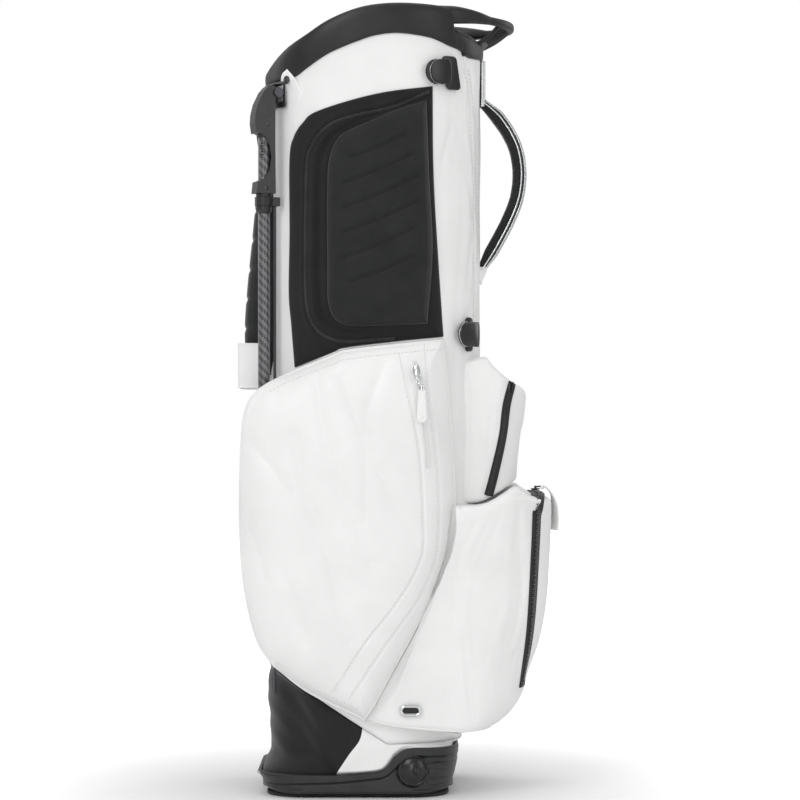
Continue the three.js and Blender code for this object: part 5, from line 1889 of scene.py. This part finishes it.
def add_handle():
    """Padded grip: cloth inside, silver piping, a dark gloss strip and a clear outer cover."""
    flat = resample(spline(HANDLE_LINE, 16), 220)
    path = np.column_stack([flat[:, 0], np.zeros(len(flat)), flat[:, 1]])
    out = np.cross(tangents(path), (0, 1, 0))
    out *= np.where(out[:, :1] < 0, -1, 1)
    share = np.linspace(0, 1, len(path))
    ends = 1 - 0.34 * (1 - smoothstep(share, 0, 0.13)) - 0.34 * smoothstep(share, 0.88, 1)
    creased = smoothstep(share, 0.1, 0.2) * (1 - smoothstep(share, 0.8, 0.9))
    crease = 1 - 0.018 * np.exp(-((np.mod(share * 13, 1) - 0.5) / 0.1) ** 2) * creased
    grip = Parts().add(*sweep(path, handle_layer(-8.0, 1.6, 11.0, 48), out, scale=ends * crease))
    made = grip.build("handle_grip", [PAD_CLOTH], 60)
    stand_in(made, "carry_handle", "handle")
    cover = Parts()
    cover.add(*sweep(path, handle_layer(1.4, 6.2, 9.8), out, scale=ends), 0)
    cover.add(*sweep(path, handle_layer(6.0, 8.4, 8.6), out, scale=ends), 1)
    made = cover.build("handle_cover", [GLOSS, CLEAR], 60)
    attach(made, "handle")
    trim = Parts()
    for _, side in SIDES:
        for rise, reach, radius in ((1.9, 10.5, 0.95), (5.9, 9.0, 0.6)):
            line = path + out * (rise * ends)[:, None]
            line = line + np.array([0, side, 0]) * (reach * ends)[:, None]
            trim.add(*sweep(line[2:-2], round_section(radius, sides=12), out[2:-2]))
    made = trim.build("handle_piping", [CHROME_PIPING], 60)
    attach(made, "handle")
    add_handle_tail()
    add_lower_anchor()


def add_handle_tail():
    """The handle's flat upper end, sewn to the spine and tucked under the collar."""
    z = np.linspace(846, 793, 40)
    spine = tube_point(np.zeros(40), z)[:, 0]
    path = np.column_stack([spine, 0 * z, z])
    out = np.tile([1.0, 0, 0], (40, 1))
    width = 1 - 0.12 * smoothstep(-z, -808, -793)
    body = Parts()
    for inner, outer, reach, slot in ((-1.0, 2.2, 11.4, 0), (2.0, 5.0, 10.2, 1), (4.8, 6.6, 8.8, 2)):
        body.add(*sweep(path, handle_layer(inner, outer, reach), out, scale=width), slot)
    for _, side in SIDES:
        for rise, reach, radius in ((2.4, 10.9, 0.95), (5.0, 9.6, 0.6)):
            line = path + out * (rise * width)[:, None]
            line = line + np.array([0, side, 0]) * (reach * width)[:, None]
            body.add(*sweep(line, round_section(radius, sides=12), out), 3)
    tail = body.build("handle_tail", [GLOSS, WHITE, CLEAR, CHROME_PIPING], 60)
    stand_in(tail, "upper_handle_anchor", BODY)


def add_lower_anchor():
    """Leather tab that holds the handle's lower end to the spine."""
    low, high = box_mm("lower_handle_anchor")
    half = (high[1] - low[1]) / 2
    rows = []
    for z in np.linspace(low[2], high[2] + 2, 24):
        edge = min(z - low[2], high[2] + 2 - z)
        round_off = 1 - 0.35 * (1 - smoothstep(edge, 0, 5))
        y = np.linspace(-1, 1, 24) * half * round_off
        middle, half_x, half_y = tube_section(z)
        spine = middle + half_x * (1 - np.abs(y / half_y) ** OVAL_POWER) ** (1 / OVAL_POWER)
        rise = 8.5 * (1 - np.abs(y / (half * round_off)) ** 6) ** 0.5
        front = spine + np.maximum(rise, 0.6) * (0.3 + 0.7 * smoothstep(z, low[2], high[2]))
        rows.append(np.vstack([np.column_stack([front, y, np.full(24, z)]),
                               np.column_stack([spine - 1.5, y, np.full(24, z)])[::-1]]))
    grid = np.stack(rows)
    tab = make_object("handle_low_tab", grid.reshape(-1, 3), capped_faces(24, 48), [WHITE], None, 50)
    stand_in(tab, "lower_handle_anchor", BODY)


def rounded_plate(half_x, half_y, corner, thickness, edge=0.8, steps=8):
    """A flat plate with rounded corners and edges, lying on z 0."""
    corners = ((1, 1, 0), (-1, 1, 90), (-1, -1, 180), (1, -1, 270))
    profile = ((edge, 0.0), (0.0, edge * 0.8), (0.0, thickness - edge),
               (edge * 0.35, thickness - edge * 0.3), (edge * 1.3, thickness))
    rows = []
    for inset, level in profile:
        points = []
        for cx, cy, start in corners:
            radius = max(corner - inset, 0.2)
            for a in np.radians(np.linspace(start, start + 90, steps)):
                points.append([cx * (half_x - corner) + radius * math.cos(a),
                               cy * (half_y - corner) + radius * math.sin(a), level])
        rows.append(points)
    grid = np.array(rows)
    count = grid.shape[1]
    return grid.reshape(-1, 3), capped_faces(len(rows), count)


def add_clips():
    """Strap clips: a tab sewn to the tube, a round swivel and a padded cover with a thin rim."""
    joints = {joint["name"]: joint for joint in frame["joints"]}
    for name, side in SIDES:
        for level in ("upper", "lower"):
            joint = joints[name + "_" + level + "_clip_swivel"]
            origin = np.array(joint["pos_m"]) / MM
            axis = np.array(joint["axis"], float)
            if axis[1] * side < 0:
                axis = -axis
            along = np.cross((0, 0, 1), axis)
            along *= 1 if along[0] > 0 else -1
            add_clip_tab(name, level, origin, axis, along)
            add_clip_puck(name, level, origin, axis, along)


def add_clip_tab(name, level, origin, axis, along):
    """Rounded tab on the tube beside and behind the swivel; the upper tab leans."""
    low, high = box_mm(name + "_" + level + "_clip_plate")
    if level == "upper":
        half_x, half_z, shift, lean = 9.0, 19.0, 21.0, 0.16
    else:
        half_x, half_z, shift, lean = 5.5, 19.5, 10.0, 0.0
    verts, faces = rounded_plate(half_x, half_z, 4.5, 4.2, 1.2)
    verts[:, 0] -= lean * verts[:, 1]
    base = origin - axis * 10.8 + along * shift
    base[2] = (low[2] + high[2]) / 2
    place = base + np.outer(verts[:, 0], along) + np.outer(verts[:, 1], (0, 0, 1))
    place = place + np.outer(verts[:, 2], axis)
    tab = make_object(name + "_" + level + "_clip_tab", place, faces, [GLOSS], None, 45)
    stand_in(tab, name + "_" + level + "_clip_plate", BODY)


def add_clip_puck(name, level, origin, axis, along):
    body = Parts()
    base = origin - axis * 6.0
    disc = [(0, 0), (13.2, 0), (14.1, 0.5), (14.4, 1.2), (14.4, 2.2), (13.9, 2.7), (12.6, 2.8), (0, 2.8)]
    verts, faces = revolve(disc, 56)
    body.add(placed(verts, base, axis, along), faces, 0)
    half_x, middle = (14.0, 4.4) if level == "upper" else (19.0, 4.5)
    cover, cover_faces = rounded_plate(half_x, 14.2, 13.6, 3.4, 1.2, 12)
    squared = np.sign(cover[:, 1]) * np.minimum(np.abs(cover[:, 1]) * 1.6, 14.2)
    spine_side = smoothstep(cover[:, 0], half_x * 0.1, half_x * 0.5)
    cover[:, 1] = lerp(cover[:, 1], squared, spine_side)
    cover[:, 0] += middle
    bow = -0.012 * np.maximum(np.abs(cover[:, 0]) - 8, 0) ** 2
    place = base + np.outer(cover[:, 0], along) + np.outer(cover[:, 1], (0, 0, 1))
    body.add(place + np.outer(cover[:, 2] + 2.7 + bow, axis), cover_faces, 0)
    rim = []
    for a in np.linspace(math.radians(96), math.radians(264), 40):
        across = middle - half_x + 13.9 + 13.9 * math.cos(a)
        lift = 3.3 - 0.012 * max(abs(across) - 8, 0) ** 2
        rim.append(base + axis * lift + along * across + np.array([0, 0, 1]) * 14.1 * math.sin(a))
    body.add(*sweep(np.array(rim), round_section(0.42), axis), 1)
    puck = body.build(name + "_" + level + "_clip_swivel_body", [GLOSS, CHROME_PIPING], 45)
    stand_in(puck, name + "_" + level + "_clip_puck", name + "_" + level + "_clip")


def add_hip_pad():
    """Padded rest between the legs, with cross channels, and the white band round it."""
    low, high = box_mm("hip_pad")
    front = line_height([(478, 100), (482, 116), (500, 130), (530, 133.5), (580, 130.5), (640, 124.5),
                         (690, 119.5), (706, 116), (716, 100)])
    columns, rows = 64, 150
    side = np.linspace(-1, 1, columns)
    half = (high[1] - low[1]) / 2
    z = np.linspace(low[2], high[2], rows)
    end = np.minimum(z - low[2], high[2] - z)
    width = half * (1 - 0.22 * (1 - smoothstep(end, 0, 26)) ** 2)
    y = side[None, :] * width[:, None]
    heights = np.broadcast_to(z[:, None], y.shape)
    round_off = (1 - np.abs(side) ** 5) ** (1 / 2.2)
    base = -tube_front(y, heights) + 2.0
    depth = np.maximum(front(heights) - base, 0.5) * round_off[None, :]
    channels = 0
    for level in (532, 566, 600, 634, 668):
        channels = channels + groove(heights - level - 6 * side[None, :] ** 2, 3.0, 1.6)
    seam = groove((np.abs(side[None, :]) - 0.86) * half, 1.2, 0.8)
    depth = np.maximum(depth - (channels + seam) * round_off[None, :], 0.4)
    outer = np.stack([-(base + depth), y, heights], -1)
    inner = np.stack([-(base - 3.0), y, heights], -1)
    grid = np.concatenate([outer, inner[::-1]])
    faces = sheet_faces(rows, columns)
    pad = make_object("hip_pad_cover", grid.reshape(-1, 3), faces, [PAD_CLOTH], None, 70)
    stand_in(pad, "hip_pad", BODY)
    add_strap_band()


def tube_front(y, z):
    """X of the tube's leg-side face at a distance from the middle plane."""
    middle, half_x, half_y = tube_section(z)
    across = np.abs(np.clip(y / half_y, -1, 1))
    return middle - half_x * (1 - across ** OVAL_POWER) ** (1 / OVAL_POWER)


def add_strap_band():
    """The white band round the hip pad, with its closure flap."""
    low, high = box_mm("leg_strap_band")
    half = (high[1] - low[1]) / 2 - 0.6
    outline = [(-106, -half), (-122, -half), (-134, -half + 5), (-139, -half + 16), (-140, 0)]
    outline += [(x, -y) for x, y in reversed(outline[:-1])]
    flat = resample(spline(outline, 10), 160)
    flat[:, 0] = np.maximum(flat[:, 0], low[0] + 0.5)
    middle_z = (low[2] + high[2]) / 2
    wave = 0.7 * np.sin(np.linspace(0, 5, 160))
    path = np.column_stack([flat, middle_z + wave])
    section = np.array([[u, v] for v, u in slab_section(high[2] - low[2] - 4, 2.0, 0.9, 4)])
    section[:, 0] = section[:, 0] - 1.0
    band = Parts().add(*sweep(path, section, (0, 0, 1)), 0)
    for edge in (-1, 1):
        hem = path + np.array([0, 0, edge * ((high[2] - low[2]) / 2 - 3.4)])
        band.add(*sweep(hem, round_section(1.5, 1.5, 12), (0, 0, 1)), 0)
    flap, flap_faces = rounded_plate(17, 21, 6, 2.2, 0.9)
    band.add(placed(flap, (low[0] + 2.6, 6, middle_z), (-1, 0, 0), (0, 1, 0)), flap_faces, 0)
    made = band.build("leg_strap_sleeve", [WHITE], 60)
    stand_in(made, "leg_strap_band", BODY)


# ---- Camera, light and floor -----------------------------------------------------------------


def add_stage():
    scene = bpy.context.scene
    camera = bpy.data.objects.new("camera", bpy.data.cameras.new("camera"))
    camera.location = (0.047, -3.0, 0.451)
    camera.rotation_euler = (math.pi / 2, 0, 0)
    camera.data.lens = 115.5
    camera.data.sensor_width = 36
    scene.collection.objects.link(camera)
    scene.camera = camera

    ground = Shader("studio_floor", (0.93, 0.93, 0.93), 0.75)
    ground.vary_roughness(ground.noise(400, 2), 0.65, 0.85)
    # painted floor light: a glow seen only by the camera brightens the floor with distance from the bag
    # until it turns white
    distance = ground.node("VectorMath", operation="LENGTH")
    ground.link(ground.place, distance.inputs[0])
    painted_floor_glow = ground.node("MapRange", interpolation_type="SMOOTHSTEP")
    ground.link(distance.outputs["Value"], painted_floor_glow.inputs["Value"])
    painted_floor_glow.inputs["From Min"].default_value = 150
    painted_floor_glow.inputs["From Max"].default_value = 900
    rays = ground.node("LightPath")
    seen = ground.node("Math", operation="MULTIPLY")
    ground.link(painted_floor_glow.outputs[0], seen.inputs[0])
    ground.link(rays.outputs["Is Camera Ray"], seen.inputs[1])
    ground.put("Emission Color", (1, 1, 1, 1))
    ground.link(seen.outputs[0], ground.principled.inputs["Emission Strength"])
    mesh = bpy.data.meshes.new("floor")
    mesh.from_pydata([(-6, -6, 0), (6, -6, 0), (6, 6, 0), (-6, 6, 0)], [], [(0, 1, 2, 3)])
    mesh.materials.append(ground.material)
    floor = bpy.data.objects.new("floor", mesh)
    scene.collection.objects.link(floor)
    lights = [
        ("key", (-1.5, -2.4, 2.3), (0.0, 0.0, 0.45), (1.6, 1.6), 29),
        ("fill", (2.1, -2.4, 1.4), (0.02, 0.0, 0.42), (1.4, 2.2), 12),
        ("top", (0.0, 0.1, 2.7), (0.0, 0.0, 0.4), (2.2, 2.2), 18),
        ("back_left", (-2.4, 1.2, 1.5), (0.0, 0.0, 0.45), (1.0, 1.6), 8),
        ("back_right", (2.4, 1.3, 1.5), (0.0, 0.0, 0.45), (1.0, 1.6), 8),
        ("strip", (-0.35, -3.2, 0.75), (-0.1, 0.0, 0.6), (0.22, 1.5), 7),
    ]
    for name, place, target, size, watts in lights:
        data = bpy.data.lights.new(name, "AREA")
        data.shape = "RECTANGLE"
        data.size, data.size_y = size
        data.energy = watts
        lamp = bpy.data.objects.new(name, data)
        lamp.location = place
        lamp.rotation_euler = (Vector(target) - Vector(place)).to_track_quat("-Z", "Y").to_euler()
        scene.collection.objects.link(lamp)
    world = bpy.data.worlds.new("studio")
    world.use_nodes = True
    background = world.node_tree.nodes["Background"]
    background.inputs[0].default_value = (1, 1, 1, 1)
    seen = world.node_tree.nodes.new("ShaderNodeLightPath")
    strength = world.node_tree.nodes.new("ShaderNodeMapRange")
    strength.inputs["To Min"].default_value = 0.5
    strength.inputs["To Max"].default_value = 1.0
    world.node_tree.links.new(seen.outputs["Is Camera Ray"], strength.inputs["Value"])
    world.node_tree.links.new(strength.outputs[0], background.inputs[1])
    scene.world = world
    scene.view_settings.view_transform = "Standard"


add_tube()
add_collar()
add_dividers()
add_skirt()
add_base()
add_legs()
add_leg_housing()
add_side_pockets()
add_side_panels()
add_wrapped_pockets()
add_zips()
add_eyelet()
add_handle()
add_clips()
add_hip_pad()
for node_name, finish, rounding in (
        ("right_side_stay", STEEL, 0.0), ("left_side_stay", STEEL, 0.0), ("club_rest_pad", FOAM, 1.2)):
    polish(node_name, finish, rounding)
add_stage()
